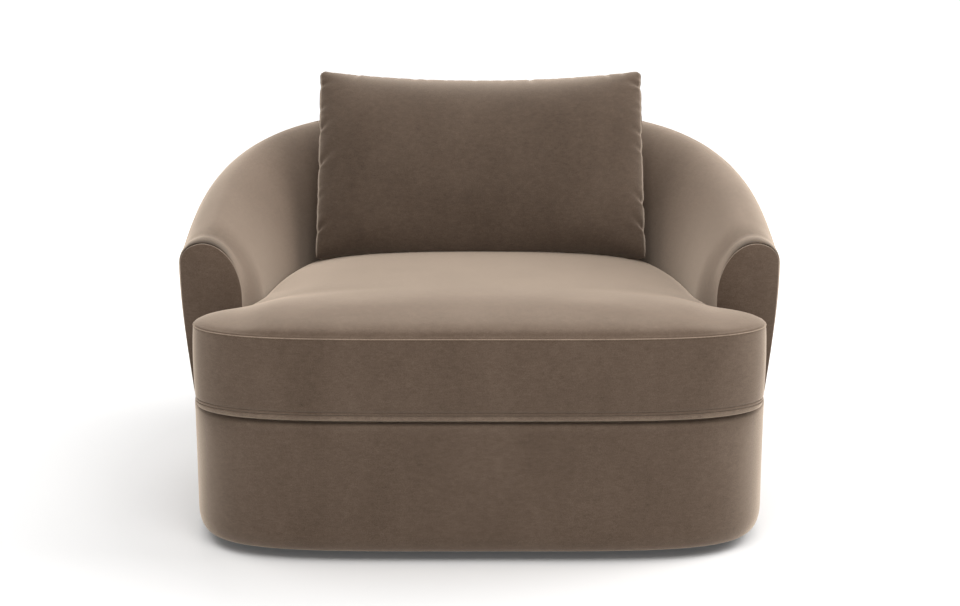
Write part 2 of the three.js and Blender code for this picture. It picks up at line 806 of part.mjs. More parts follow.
function ballCage() {
  const low = ballCentreHeight - cageThickness / 2;
  const high = ballCentreHeight + cageThickness / 2;
  const ring = lathe(
    [
      [ballCircle - cageHalfWidth, low],
      [ballCircle + cageHalfWidth, low],
      [ballCircle + cageHalfWidth, high],
      [ballCircle - cageHalfWidth, high],
      [ballCircle - cageHalfWidth, low],
    ],
    holeSteps,
  );
  const balls = range(ballCount).map((i) => {
    const turn = (2 * Math.PI * i) / ballCount;
    return new THREE.SphereGeometry(ballRadius, ballSteps, ballSteps - 1)
      .rotateX(Math.PI / 2)
      .translate(ballCircle * Math.cos(turn), ballCircle * Math.sin(turn), ballCentreHeight);
  });
  return join(ring, ...balls);
}

const pinTop = boardBottom + pinTravel + pinHeadHeight;
const pivotPin = () =>
  lathe(
    [
      [0, plinthTop + seamGap],
      [pinRadius, plinthTop + seamGap],
      [pinRadius, pinTop - pinHeadHeight],
      [pinHeadRadius, pinTop - pinHeadHeight],
      [pinHeadRadius, pinTop],
      [0, pinTop],
    ],
    holeSteps,
  );

// A flat-headed screw whose head starts at one height and whose shank points the given way, 1 for up.
function screw(headFace, way) {
  const shankStart = headFace + way * screwHeadHeight;
  const profile = [
    [0, headFace],
    [screwHeadRadius, headFace],
    [screwHeadRadius, shankStart],
    [screwShankRadius, shankStart],
    [screwShankRadius, shankStart + way * screwLength],
    [0, shankStart + way * screwLength],
  ];
  return lathe(way > 0 ? profile : profile.reverse(), boltSteps);
}

const chair = new THREE.Group();
function add(name, geometry, finish) {
  const material = new THREE.MeshStandardMaterial({
    color: COLOURS[finish],
    roughness: METAL[finish] ? 0.35 : 0.9,
    metalness: METAL[finish] ? 1 : 0,
  });
  const mesh = new THREE.Mesh(geometry, material);
  mesh.name = name;
  chair.add(mesh);
}
function addPair(name, right, finish) {
  add(`${name}_right`, right, finish);
  add(`${name}_left`, mirrored(right), finish);
}

// Plinth and glides
for (const i of range(glideCount)) {
  const turn = ((i + 0.5) * 2 * Math.PI) / glideCount;
  const glide = rod(glideRadius, 0, glideHeight, glideSteps);
  add(
    `glide_${i + 1}`,
    glide.translate(glideCircle * Math.cos(turn), glideCircle * Math.sin(turn), 0),
    "rubber",
  );
}
const plinthHole = screwHole(plinthTop - screwLength, plinthTop + cutOverrun);
add(
  "plinth_disc",
  cut(
    rod(plinthRadius, plinthBottom, plinthTop, discSteps),
    ...plateCorners.map((corner) => atCorner(plinthHole, corner)),
  ),
  "blackWood",
);

// Turntable
add(
  "turntable_lower_plate",
  turntablePlate(plinthTop, plinthTop, lowerPlateTop + raceHeight, pinRadius + seamGap),
  "zincSteel",
);
add("ball_cage", ballCage(), "zincSteel");
add(
  "turntable_upper_plate",
  turntablePlate(upperPlateBottom, upperPlateBottom - raceHeight, boardBottom, pinRadius + runningGap),
  "zincSteel",
);
add("pivot_pin", pivotPin(), "zincSteel");
plateCorners.forEach((corner, i) => {
  const plinthScrew = screw(lowerPlateTop + seamGap + screwHeadHeight, -1);
  add(`plinth_screw_${i + 1}`, atCorner(plinthScrew, corner), "zincSteel");
  const bolt = screw(upperPlateBottom - seamGap - screwHeadHeight, 1);
  add(`turntable_bolt_${i + 1}`, atCorner(bolt, corner), "zincSteel");
});

// Base frame
const boardHole = screwHole(boardBottom - cutOverrun, boardTop + cutOverrun);
const pinRoom = rod(pinHeadRadius + pinRoomGap, boardBottom - cutOverrun, boardTop + cutOverrun, holeSteps);
add(
  "base_board",
  cut(
    sheetOf(baseOutline(baseWallInset), boardBottom, boardTop),
    pinRoom,
    ...plateCorners.map((corner) => atCorner(boardHole, corner)),
  ),
  "plywood",
);
const hemTop = boardBottom - dustCoverDrop;
const dustSheet = sheetOf(
  baseOutline(underRollReach + hemWidth + runningGap),
  hemTop - dustCoverThickness,
  hemTop,
);
const plateRoom = plateHalf + runningGap;
const plateWindow = [-plateRoom, plateRoom, -plateRoom, plateRoom];
add("dust_cover", cut(dustSheet, block(...plateWindow, groundGap, boardTop)), "lining");
const wallInner = baseWallInset + baseWallThickness;
add(
  "base_wall",
  baseRing([
    [baseWallInset, boardTop + seamGap],
    [wallInner, boardTop + seamGap],
    [wallInner, deckRingBottom - seamGap],
    [baseWallInset, deckRingBottom - seamGap],
  ]),
  "plywood",
);
const openingHalf = springReach + openingSide;
add(
  "deck_ring",
  cut(
    sheetOf(baseOutline(baseWallInset), deckRingBottom, deckRingTop),
    block(
      -openingHalf,
      openingHalf,
      springFrontY + openingMargin,
      springBackY - openingMargin,
      deckRingBottom - cutOverrun,
      deckRingTop + cutOverrun,
    ),
  ),
  "plywood",
);

// Springs, their clip strips and the deck over them
for (const i of range(springCount)) {
  add(`seat_spring_${i + 1}`, springBody((i - (springCount - 1) / 2) * springPitch), "springSteel");
}
const stripLow = deckRingTop + seamGap;
for (const [name, edge, way] of [
  ["spring_clip_strip_front", springFrontY + openingMargin, -1],
  ["spring_clip_strip_rear", springBackY - openingMargin, 1],
]) {
  const sides = [edge + way * runningGap, edge + way * (runningGap + clipStripWidth)];
  const [near, far] = [Math.min(...sides), Math.max(...sides)];
  const strip = block(-stripHalf, stripHalf, near, far, stripLow, stripLow + clipStripThickness);
  add(name, strip, "zincSteel");
}
const deckEdge = baseWallInset + layerGap;
const deckFront = { ...base, half: base.half - deckEdge, front: base.front + deckEdge };
const deckPlan = seatPlan(deckFront, cushionGap, seatRearY, wallStartY - seamGap, deckCornerRadius);
const springTop = springLow + 2 * springWireRadius + springRoom;
add(
  "deck_pad",
  cut(
    sheetOf(deckPlan, deckPadBottom, deckPadTop),
    block(
      -openingHalf,
      openingHalf,
      springFrontY - clipStripWidth,
      springBackY + clipStripWidth,
      deckPadBottom - cutOverrun,
      springTop,
    ),
  ),
  "foam",
);
add("deck_cover", sheetOf(deckPlan, deckCoverBottom, deckHeight), "lining");

// Base padding and cover. Their line runs from the roll under the base up to the crease at its top.
const creaseReach = baseWallInset - seamGap;
function baseLine(margin, startShare) {
  const under = spread((startShare * Math.PI) / 2, Math.PI / 2, baseRollSteps).map((turn) => [
    underRollReach - (underRollReach - margin) * Math.sin(turn),
    groundGap + underRollHeight - (underRollHeight - margin) * Math.cos(turn),
  ]);
  const over = spread(0, Math.PI / 2, baseRollSteps).map((turn) => [
    creaseReach - (creaseReach - margin) * Math.cos(turn),
    deckHeight - creaseDrop + (creaseDrop - margin) * Math.sin(turn),
  ]);
  return [...under, ...over];
}
const coverSection = [
  [underRollReach + hemWidth, hemTop],
  ...baseLine(0, 0),
  ...baseLine(coverThickness, 0).reverse(),
  [underRollReach + hemWidth - coverThickness, hemTop],
];
add("base_cover", baseRing(coverSection), "velvet");
const paddingLine = baseLine(padMargin, paddingStartShare);
const paddingFoot = [creaseReach, paddingLine[0][1]];
add("base_padding", baseRing([paddingFoot, ...paddingLine]), "foam");

// Arms and back: frame, padding and covers
addPair("arm_front_board", facingPlate(wallStartY, boardThickness, frameInset, frameFoot), "plywood");
addPair("arm_top_rail", sweepWall(armStations(padStartY), railSection), "plywood");
add("back_top_rail", sweepWall(backStations(seamTurn), railSection), "plywood");
addPair("arm_post", armPost(), "plywood");
addPair("back_post", backPost(), "plywood");
addPair("arm_pad", sweepWall(armStations(padStartY), padSection), "foam");
add("back_pad", sweepWall(backStations(seamTurn), padSection), "foam");
addPair("inside_arm_cover", sweepWall(armStations(wallStartY), insideCoverSection), "velvet");
add("inside_back_cover", sweepWall(backStations(seamTurn), insideCoverSection), "velvet");
addPair("outside_arm_cover", sweepWall(armStations(wallStartY), outsideCoverSection(wallLevels)), "velvet");
add("outside_back_cover", sweepWall(backStations(seamTurn), outsideCoverSection(backCoverLevels)), "velvet");
addPair("arm_facing", facingPlate(armFrontY, facingThickness, 0, outsideFoot), "velvet");

// Seat cushion, with its zip in the straight rear of the boxing
const tapeLow = seatRearY + seamGap;
const chainFace = tapeLow + zipTapeThickness;
const sliderBack = chainFace + seamGap;
const channelFace = chainFace + zipChainHeight + seamGap;
const sliderFace = channelFace + sliderWall;
const zipHalfLength = seatHalfAt(sliderFace + sliderWall) - zipEndRoom;
const zipStrip = (width, front, back) =>
  block(-zipHalfLength, zipHalfLength, front, back, zipHeight - width / 2, zipHeight + width / 2);
const zipSlot = zipStrip(zipSlotHeight, seatRearY - clothThickness - cutOverrun, seatRearY + cutOverrun);
add("seat_cushion_cover", cut(cushionBody(0), cushionBody(clothThickness), zipSlot), "velvet");
add("seat_cushion_foam", cushionBody(clothThickness + fillingGap), "foam");
const zipTape = zipStrip(zipWidth, tapeLow, chainFace);
const zipChain = zipStrip(zipChainWidth, chainFace - zipTapeThickness / 2, chainFace + zipChainHeight);
add("seat_zip", join(zipTape, zipChain), "lining");
const sliderX = zipHalfLength - sliderLength;
const channel = block(
  sliderX - sliderLength,
  sliderX + sliderLength,
  sliderBack - cutOverrun,
  channelFace,
  zipHeight - zipChainWidth / 2 - seamGap,
  zipHeight + zipChainWidth / 2 + seamGap,
);
const sliderShell = block(
  sliderX - sliderLength / 2,
  sliderX + sliderLength / 2,
  sliderBack,
  sliderFace,
  zipHeight - sliderWidth / 2,
  zipHeight + sliderWidth / 2,
);
const pullTab = block(
  sliderX - pullWidth / 2,
  sliderX + pullWidth / 2,
  sliderFace - sliderWall / 2,
  sliderFace + sliderWall,
  zipHeight - pullLength,
  zipHeight + sliderWidth / 2,
);
add("seat_zip_slider", join(cut(sliderShell, channel), pullTab), "zincSteel");

// Back pillow, pressed against the seat and the back
const pillowLayer = (margin) =>
  cut(
    pillowBody(margin),
    cushionBody(-margin).translate(0, 0, seamGap),
    wallTool(runningGap + margin),
  );
const pillowSlot = block(
  -pillowZipHalfLength,
  pillowZipHalfLength,
  pillowFootY - zipSlotHeight / 2,
  pillowFootY + zipSlotHeight / 2,
  cushionSeamHeight,
  pillowFootHeight + cushionCrown + zipWidth,
);
add("back_pillow_cover", cut(pillowLayer(0), pillowLayer(clothThickness), pillowSlot), "velvet");
add("back_pillow_insert", pillowLayer(clothThickness + fillingGap), "wadding");

export default chair;
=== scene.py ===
"""The cuddle chair over its fixed frame: fitted velvet covers, loose seat and pillow, works inside."""

import logging
import math
from contextlib import contextmanager
from dataclasses import dataclass, field
from enum import Enum
from typing import Callable, Iterator, Sequence

import bmesh
import bpy
import numpy as np
from mathutils import Matrix, Vector
from mathutils.bvhtree import BVHTree


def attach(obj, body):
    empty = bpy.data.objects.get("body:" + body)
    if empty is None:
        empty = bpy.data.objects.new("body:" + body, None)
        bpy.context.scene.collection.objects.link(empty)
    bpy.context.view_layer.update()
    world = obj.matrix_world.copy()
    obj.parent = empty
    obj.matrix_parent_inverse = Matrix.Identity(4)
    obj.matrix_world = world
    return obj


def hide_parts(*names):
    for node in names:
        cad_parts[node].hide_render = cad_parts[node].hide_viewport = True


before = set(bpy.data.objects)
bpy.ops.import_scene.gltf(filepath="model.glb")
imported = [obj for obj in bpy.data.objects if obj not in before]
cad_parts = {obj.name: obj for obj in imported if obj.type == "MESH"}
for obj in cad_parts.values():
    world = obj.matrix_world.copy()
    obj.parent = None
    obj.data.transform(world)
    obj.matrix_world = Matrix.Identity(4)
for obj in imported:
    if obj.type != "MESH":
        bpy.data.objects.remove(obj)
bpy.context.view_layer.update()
# Name of the point mark that paints light into the velvet: positive shares are painted highlights, negative
# ones painted shade.
PAINTED_SHEEN_AND_SHADE = "painted_sheen_and_shade"
log = logging.getLogger("cuddle_chair")

Colour = tuple[float, float, float]


class Body(Enum):
    """The bodies of the frame that the new pieces ride on."""

    CHAIR = "chair"
    SEAT = "seat_cushion"
    PILLOW = "back_pillow"


class Side(Enum):
    """The two sides of the chair, as the sign of their x."""

    RIGHT = 1
    LEFT = -1


# Shaping helpers

SEAM_STEPS = (0.0, 0.0003, 0.0008, 0.0015, 0.0024, 0.0036, 0.0054, 0.008, 0.012, 0.018)


def mix(a: float, b: float, share: float) -> float:
    """The value at a share of the way from a to b."""
    return a + (b - a) * share


def clamp_share(share: float) -> float:
    """A share held between 0 and 1."""
    return min(1.0, max(0.0, share))


def smooth_share(share: float | np.ndarray) -> float | np.ndarray:
    """A share from 0 to 1 that starts and ends gently."""
    return share * share * (3 - 2 * share)


def even_steps(start: float, end: float, step: float) -> list[float]:
    """Evenly spaced values no further apart than a step, both ends included."""
    count = max(1, math.ceil(abs(end - start) / step))
    return [mix(start, end, i / count) for i in range(count + 1)]


def edge_steps(length: float, step: float, start_fine: bool, end_fine: bool) -> list[float]:
    """Distances along a stretch of cloth, closer together where it runs into a seam.

    Args:
        length: The stretch's length.
        step: The wide spacing.
        start_fine: Whether there is a seam at its start.
        end_fine: Whether there is a seam at its end.

    Returns:
        Rising distances from 0 to the length.
    """
    head = list(SEAM_STEPS) if start_fine else [0.0]
    tail = [length - d for d in reversed(SEAM_STEPS)] if end_fine else [length]
    return head[:-1] + even_steps(head[-1], tail[0], step) + tail[1:]


def rolled_edge(distance: float, radius: float) -> float:
    """How far sewn cloth has rolled in, at a distance from its seam."""
    if distance >= radius:
        return 0.0
    return radius - math.sqrt(max(0.0, radius**2 - (radius - distance) ** 2))


def distances_along(line: Sequence[np.ndarray]) -> np.ndarray:
    """How far along a line each of its points lies."""
    return np.concatenate([[0.0], np.cumsum(np.linalg.norm(np.diff(line, axis=0), axis=1))])


def evened(line: np.ndarray, passes: int) -> np.ndarray:
    """A closed line whose points are averaged with their neighbours a number of times."""
    for _ in range(passes):
        line = line * 0.5 + (np.roll(line, 1, 0) + np.roll(line, -1, 0)) * 0.25
    return line


def at_height(plan: np.ndarray, z: float | np.ndarray) -> np.ndarray:
    """A plan's points at one height, or each at its own."""
    return np.column_stack([plan, np.broadcast_to(z, len(plan))])


def deselect() -> None:
    """Leaves nothing selected."""
    for other in bpy.context.selected_objects:
        other.select_set(False)


def make_active(piece: bpy.types.Object) -> None:
    """Selects one piece alone and makes it the active one."""
    deselect()
    piece.select_set(True)
    bpy.context.view_layer.objects.active = piece


def apply_modifiers(piece: bpy.types.Object) -> None:
    """Applies all of a piece's modifiers in their order."""
    make_active(piece)
    for name in [modifier.name for modifier in piece.modifiers]:
        bpy.ops.object.modifier_apply(modifier=name)


def linked(name: str, data: bpy.types.ID) -> bpy.types.Object:
    """A new object in the scene that shows a mesh, a lamp or a camera."""
    holder = bpy.data.objects.new(name, data)
    bpy.context.scene.collection.objects.link(holder)
    return holder


@contextmanager
def open_mesh(piece: bpy.types.Object) -> Iterator[bmesh.types.BMesh]:
    """Opens a piece's mesh for changes, and puts it back when they are done."""
    mesh = bmesh.new()
    mesh.from_mesh(piece.data)
    yield mesh
    mesh.to_mesh(piece.data)
    mesh.free()


def mesh_piece(name: str, points: np.ndarray, faces: Sequence[Sequence[int]]) -> bpy.types.Object:
    """Makes a smooth-shaded piece from points and faces.

    Args:
        name: The piece's name.
        points: The points, in metres, in the frame of the chair.
        faces: The faces, by point number.

    Returns:
        The new piece, linked to the scene.
    """
    mesh = bpy.data.meshes.new(name)
    mesh.from_pydata([tuple(p) for p in points], [], [tuple(f) for f in faces])
    mesh.polygons.foreach_set("use_smooth", [True] * len(mesh.polygons))
    return linked(name, mesh)


def mark_points(piece: bpy.types.Object, name: str, shares: np.ndarray) -> None:
    """Notes a value at each point of a piece, for its finish to use."""
    layer = piece.data.attributes.new(name, "FLOAT", "POINT")
    layer.data.foreach_set("value", shares.astype(np.float32))


def sheet_faces(rows: int, columns: int, loop: bool = False) -> list[list[int]]:
    """Quads between rows of points, with each row closed on itself if loop is true."""
    faces = []
    spans = columns if loop else columns - 1
    for i in range(rows - 1):
        for j in range(spans):
            k = (j + 1) % columns
            a, b = i * columns, (i + 1) * columns
            faces.append([a + j, b + j, b + k, a + k])
    return faces


def ring_faces(rows: int, columns: int) -> list[list[int]]:
    """Quads between closed rows of points, with the last row joined to the first."""
    last = (rows - 1) * columns
    joined = [[last + k, k, (k + 1) % columns, last + (k + 1) % columns] for k in range(columns)]
    return sheet_faces(rows, columns, loop=True) + joined


def stack_faces(rows: int, columns: int) -> list[list[int]]:
    """Faces of a stack of closed rows, whose two middle points come after them."""
    last, low, high = (rows - 1) * columns, rows * columns, rows * columns + 1
    faces = sheet_faces(rows, columns, loop=True)
    faces += [[low, (k + 1) % columns, k] for k in range(columns)]
    faces += [[high, last + k, last + (k + 1) % columns] for k in range(columns)]
    return faces


def turn_out(piece: bpy.types.Object) -> None:
    """Turns the faces of a closed piece outwards."""
    with open_mesh(piece) as mesh:
        bmesh.ops.remove_doubles(mesh, verts=mesh.verts, dist=1e-7)
        bmesh.ops.recalc_face_normals(mesh, faces=mesh.faces)


def turn_towards(piece: bpy.types.Object, way: tuple[float, float, float]) -> None:
    """Turns all faces of an open sheet towards a direction."""
    with open_mesh(piece) as mesh:
        bmesh.ops.recalc_face_normals(mesh, faces=mesh.faces)
        if sum(face.normal.dot(Vector(way)) for face in mesh.faces) < 0:
            bmesh.ops.reverse_faces(mesh, faces=mesh.faces)


def thicken(piece: bpy.types.Object, thickness: float) -> None:
    """Gives an open sheet its cloth's thickness, inwards from its outer face."""
    modifier = piece.modifiers.new("cloth", "SOLIDIFY")
    modifier.thickness = thickness
    modifier.offset = -1.0
    modifier.use_even_offset = False
    apply_modifiers(piece)


def sheet_piece(name: str, grid: np.ndarray, thickness: float, flip: bool = False) -> bpy.types.Object:
    """Makes a fitted cover from a grid of points on its outer face.

    Args:
        name: The piece's name.
        grid: Points as rows, columns and x, y, z.
        thickness: The cloth's thickness, towards the inside.
        flip: Whether the grid was mirrored, so that its faces turn round.

    Returns:
        The cover as one closed shell.
    """
    rows, columns = grid.shape[:2]
    faces = sheet_faces(rows, columns)
    if flip:
        faces = [face[::-1] for face in faces]
    piece = mesh_piece(name, grid.reshape(-1, 3), faces)
    thicken(piece, thickness)
    return piece


def mirrored(grid: np.ndarray, side: Side) -> np.ndarray:
    """A grid on the given side, from one made on the right."""
    return grid * np.array([side.value, 1.0, 1.0])


def surface_tree(piece: bpy.types.Object) -> BVHTree:
    """A search tree over a piece's faces."""
    mesh = piece.data
    return BVHTree.FromPolygons(
        [v.co.copy() for v in mesh.vertices], [tuple(p.vertices) for p in mesh.polygons]
    )


def points_of(piece: bpy.types.Object) -> np.ndarray:
    """All points of a piece as an array."""
    values = np.empty(len(piece.data.vertices) * 3)
    piece.data.vertices.foreach_get("co", values)
    return values.reshape(-1, 3)


def set_points(piece: bpy.types.Object, points: np.ndarray) -> None:
    """Moves all points of a piece."""
    piece.data.vertices.foreach_set("co", points.ravel())
    piece.data.update()


def normals_of(piece: bpy.types.Object) -> np.ndarray:
    """The point normals of a piece as an array."""
    values = np.empty(len(piece.data.vertices) * 3)
    piece.data.vertex_normals.foreach_get("vector", values)
    return values.reshape(-1, 3)


def tube_piece(name: str, path: np.ndarray, radius: float, sides: int) -> bpy.types.Object:
    """Makes a thin sewn bead or thread along a closed path.

    Args:
        name: The piece's name.
        path: The points that it follows.
        radius: Its radius.
        sides: How many sides it has.

    Returns:
        The bead, as a closed loop.
    """
    along = np.roll(path, -1, 0) - np.roll(path, 1, 0)
    along /= np.linalg.norm(along, axis=1, keepdims=True)
    across = np.cross(along, np.array([0.0, 0.0, 1.0]))
    flat = np.linalg.norm(across, axis=1) < 1e-3
    across[flat] = np.cross(along[flat], np.array([1.0, 0.0, 0.0]))
    across /= np.linalg.norm(across, axis=1, keepdims=True)
    over = np.cross(across, along)
    rings = []
    for k in range(sides):
        turn = 2 * math.pi * k / sides
        rings.append(path + radius * (math.cos(turn) * across + math.sin(turn) * over))
    piece = mesh_piece(name, np.stack(rings, 1).reshape(-1, 3), ring_faces(len(path), sides))
    turn_out(piece)
    return piece


def rings_piece(name: str, rings: Sequence[np.ndarray]) -> bpy.types.Object:
    """Closes a stack of equal rings into one body, with its ends drawn to their middles."""
    points = np.vstack([*rings, np.mean(rings[0], 0), np.mean(rings[-1], 0)])
    piece = mesh_piece(name, points, stack_faces(len(rings), len(rings[0])))
    turn_out(piece)
    return piece


def open_block(size: tuple[float, float, float]) -> bpy.types.Object:
    """Adds a block of a size at the origin and leaves it open for editing, all selected."""
    deselect()
    bpy.ops.mesh.primitive_cube_add(size=1.0, location=(0.0, 0.0, 0.0))
    bpy.ops.object.mode_set(mode="EDIT")
    bpy.ops.mesh.select_all(action="SELECT")
    bpy.ops.transform.resize(value=size)
    return bpy.context.active_object


def copies_piece(name: str, first: bpy.types.Object, places: Sequence[Matrix]) -> bpy.types.Object:
    """Sets copies of a small piece at many places.

    Args:
        name: The name of the new piece.
        first: The small piece, which is taken away afterwards.
        places: The turn and shift of each copy.

    Returns:
        All the copies as one piece.
    """
    rows = bmesh.new()
    for place in places:
        start = len(rows.verts)
        rows.from_mesh(first.data)
        rows.verts.ensure_lookup_table()
        bmesh.ops.transform(rows, matrix=place, verts=rows.verts[start:])
    mesh = bpy.data.meshes.new(name)
    rows.to_mesh(mesh)
    rows.free()
    bpy.data.objects.remove(first)
    return linked(name, mesh)


# Finishes


Socket = bpy.types.NodeSocket


class NodeSketch:
    """Lays out the nodes of one material round a Principled shader."""

    def __init__(self, name: str) -> None:
        """Starts an empty material of a name."""
        self.material = bpy.data.materials.new(name)
        self.material.use_nodes = True
        self.tree = self.material.node_tree
        self.tree.nodes.clear()
        self.shader = self.add("BsdfPrincipled")
        self.output = self.add("OutputMaterial")
        self.link(self.shader.outputs[0], self.output.inputs["Surface"])
        self.place = self.add("TexCoord").outputs["Object"]

    def add(self, kind: str, **values: float | Colour) -> bpy.types.ShaderNode:
        """Adds a node with constants on its sockets, named with underscores for spaces."""
        node = self.tree.nodes.new("ShaderNode" + kind)
        for name, value in values.items():
            node.inputs[name.replace("_", " ")].default_value = value
        return node

    def link(self, source: Socket, target: Socket) -> None:
        """Joins two sockets."""
        self.tree.links.new(source, target)

    def surface(self, **values: float | Colour) -> None:
        """Sets constants on the shader's own sockets, named with underscores for spaces."""
        for name, value in values.items():
            socket = self.shader.inputs[name.replace("_", " ")]
            socket.default_value = (*value, 1.0) if isinstance(value, tuple) else value

    def marked(self, name: str) -> Socket:
        """A value noted at each point of the mesh."""
        node = self.add("Attribute")
        node.attribute_name = name
        return node.outputs["Fac"]

    def stretched(self, *scale: float) -> Socket:
        """The object's coordinates, stretched along x, y and z."""
        node = self.add("Mapping", Scale=scale)
        self.link(self.place, node.inputs["Vector"])
        return node.outputs["Vector"]

    def noise(self, scale: float, detail: float, rough: float, place: Socket | None = None) -> Socket:
        """Adds a noise and gives its value."""
        node = self.add("TexNoise", Scale=scale, Detail=detail, Roughness=rough)
        self.link(place or self.place, node.inputs["Vector"])
        return node.outputs["Fac"]

    def cells(self, scale: float) -> Socket:
        """Adds a cell pattern and gives each point's distance from its cell's middle."""
        node = self.add("TexVoronoi", Scale=scale)
        self.link(self.place, node.inputs["Vector"])
        return node.outputs["Distance"]

    def waves(self, scale: float, distortion: float, direction: str) -> Socket:
        """Adds straight bands across a direction and gives their value."""
        node = self.add("TexWave", Scale=scale, Distortion=distortion, Detail=3.0)
        node.bands_direction = direction
        self.link(self.place, node.inputs["Vector"])
        return node.outputs["Fac"]

    def remap(self, source: Socket, low: float, high: float, to_low: float, to_high: float) -> Socket:
        """Maps one range of values to another, held at its ends."""
        node = self.add("MapRange", From_Min=low, From_Max=high, To_Min=to_low, To_Max=to_high)
        self.link(source, node.inputs["Value"])
        return node.outputs["Result"]

    def sum_of(self, a: Socket, b: Socket, share: float) -> Socket:
        """Adds a share of one value to another."""
        node = self.add("Math")
        node.operation = "MULTIPLY_ADD"
        node.inputs[1].default_value = share
        self.link(b, node.inputs[0])
        self.link(a, node.inputs[2])
        return node.outputs["Value"]

    def colour(self, share: Socket, *stops: tuple[float, Colour]) -> None:
        """Colours the surface by a ramp over a value, from (place, colour) stops."""
        node = self.add("ValToRGB")
        ramp = node.color_ramp
        for end in (0, -1):
            ramp.elements[end].position = stops[end][0]
            ramp.elements[end].color = (*stops[end][1], 1.0)
        for place, colour in stops[1:-1]:
            ramp.elements.new(place).color = (*colour, 1.0)
        self.link(share, node.inputs["Fac"])
        self.link(node.outputs["Color"], self.shader.inputs["Base Color"])

    def roughness(self, source: Socket, low: float, high: float, to_low: float, to_high: float) -> None:
        """Sets the surface's roughness from one range of values to another."""
        self.link(self.remap(source, low, high, to_low, to_high), self.shader.inputs["Roughness"])

    def relief(self, height: Socket, strength: float, distance: float) -> None:
        """Adds a bump from a height, over any that the shader already has."""
        node = self.add("Bump", Strength=strength, Distance=distance)
        self.link(height, node.inputs["Height"])
        for old in self.shader.inputs["Normal"].links:
            self.link(old.from_socket, node.inputs["Normal"])
        self.link(node.outputs["Normal"], self.shader.inputs["Normal"])


@dataclass(frozen=True)
class Velvet:
    """Short-pile velvet: brushed tone, fine specks of turned pile, a soft sheen at the edges, and painted
    highlights and painted shade where points are marked.
    """

    name: str = "taupe_velvet"
    deep: Colour = (0.078, 0.051, 0.034)
    body: Colour = (0.104, 0.070, 0.049)
    lifted: Colour = (0.140, 0.099, 0.072)
    sheen: float = 1.0
    sheen_spread: float = 0.46
    sheen_tint: Colour = (1.0, 0.835, 0.68)
    # The lightest stop: the rare lightest random specks, and the painted highlight of points marked with a
    # positive share.
    turned: Colour = (0.205, 0.150, 0.109)
    # The darkest stop: painted shade for points marked with a negative share; only the darkest random tone
    # leans towards it.
    painted_shade_and_dark_specks: Colour = (0.026, 0.017, 0.011)
    brush_scale: float = 9.0
    mottle_scale: float = 70.0
    fleck_scale: float = 150.0
    speck_scale: float = 620.0

    def material(self) -> bpy.types.Material:
        """Builds the brushed tone, the mottling, the flecks, and the painted highlights and painted shade of
        the marked points.
        """
        sketch = NodeSketch(self.name)
        sketch.surface(
            Specular_IOR_Level=0.18,
            Sheen_Weight=self.sheen,
            Sheen_Roughness=self.sheen_spread,
            Sheen_Tint=self.sheen_tint,
        )
        brushed = sketch.noise(self.brush_scale, 3.0, 0.5, sketch.stretched(1.0, 1.0, 0.45))
        mottle = sketch.noise(self.mottle_scale, 5.0, 0.62)
        specks = sketch.noise(self.speck_scale, 2.0, 0.7)
        tone = sketch.sum_of(sketch.remap(brushed, 0.3, 0.7, -0.10, 0.10), mottle, 0.44)
        tone = sketch.sum_of(tone, sketch.remap(specks, 0.25, 0.75, 0.0, 1.0), 0.50)
        flecks = sketch.noise(self.fleck_scale, 4.0, 0.65, sketch.stretched(0.5, 0.5, 1.5))
        tone = sketch.sum_of(tone, sketch.remap(flecks, 0.34, 0.66, -0.5, 0.5), 0.16)
        # Painted light: a positive mark lightens the velvet into a painted highlight, a negative mark
        # darkens it into painted shade.
        tone = sketch.sum_of(tone, sketch.marked(PAINTED_SHEEN_AND_SHADE), 0.45)
        stops = [(0.02, self.painted_shade_and_dark_specks), (0.22, self.deep), (0.46, self.body), (0.78, self.lifted)]
        sketch.colour(tone, *stops, (0.84, self.lifted), (1.0, self.turned))
        sketch.roughness(mottle, 0.3, 0.7, 0.80, 0.97)
        sketch.relief(specks, 0.30, 0.0007)
        sketch.relief(mottle, 0.10, 0.0012)
        return sketch.material


@dataclass(frozen=True)
class WovenCloth:
    """Plain woven or bonded cloth, such as lining, zip tape or thread."""

    name: str
    body: Colour
    lifted: Colour
    threads: float = 1400.0
    rough: float = 0.85

    def material(self) -> bpy.types.Material:
        """Builds the cloth's crossing threads and soft blotches."""
        sketch = NodeSketch(self.name)
        sketch.surface(Roughness=self.rough, Specular_IOR_Level=0.2, Sheen_Weight=0.1)
        across = sketch.waves(self.threads / 2, 0.3, "X")
        along = sketch.waves(self.threads / 2, 0.3, "Y")
        weave = sketch.sum_of(across, along, 1.0)
        blotch = sketch.noise(120.0, 4.0, 0.6)
        tone = sketch.sum_of(sketch.remap(weave, 0.0, 2.0, 0.1, 0.6), blotch, 0.5)
        sketch.colour(tone, (0.2, self.body), (0.8, self.lifted))
        sketch.relief(weave, 0.35, 0.0003)
        return sketch.material


@dataclass(frozen=True)
class Filling:
    """Foam with open pores, or fluffy wadding with long fibres."""

    name: str
    body: Colour
    shade: Colour
    pores: float
    depth: float

    def material(self) -> bpy.types.Material:
        """Builds the filling's pores or fibres."""
        sketch = NodeSketch(self.name)
        sketch.surface(Roughness=0.95, Specular_IOR_Level=0.15)
        pores = sketch.cells(self.pores)
        clouds = sketch.noise(18.0, 4.0, 0.6)
        tone = sketch.sum_of(sketch.remap(pores, 0.0, 0.8, 0.25, 0.8), clouds, 0.35)
        sketch.colour(tone, (0.2, self.shade), (0.7, self.body))
        sketch.relief(pores, 0.6, self.depth)
        sketch.relief(clouds, 0.3, 0.003)
        return sketch.material


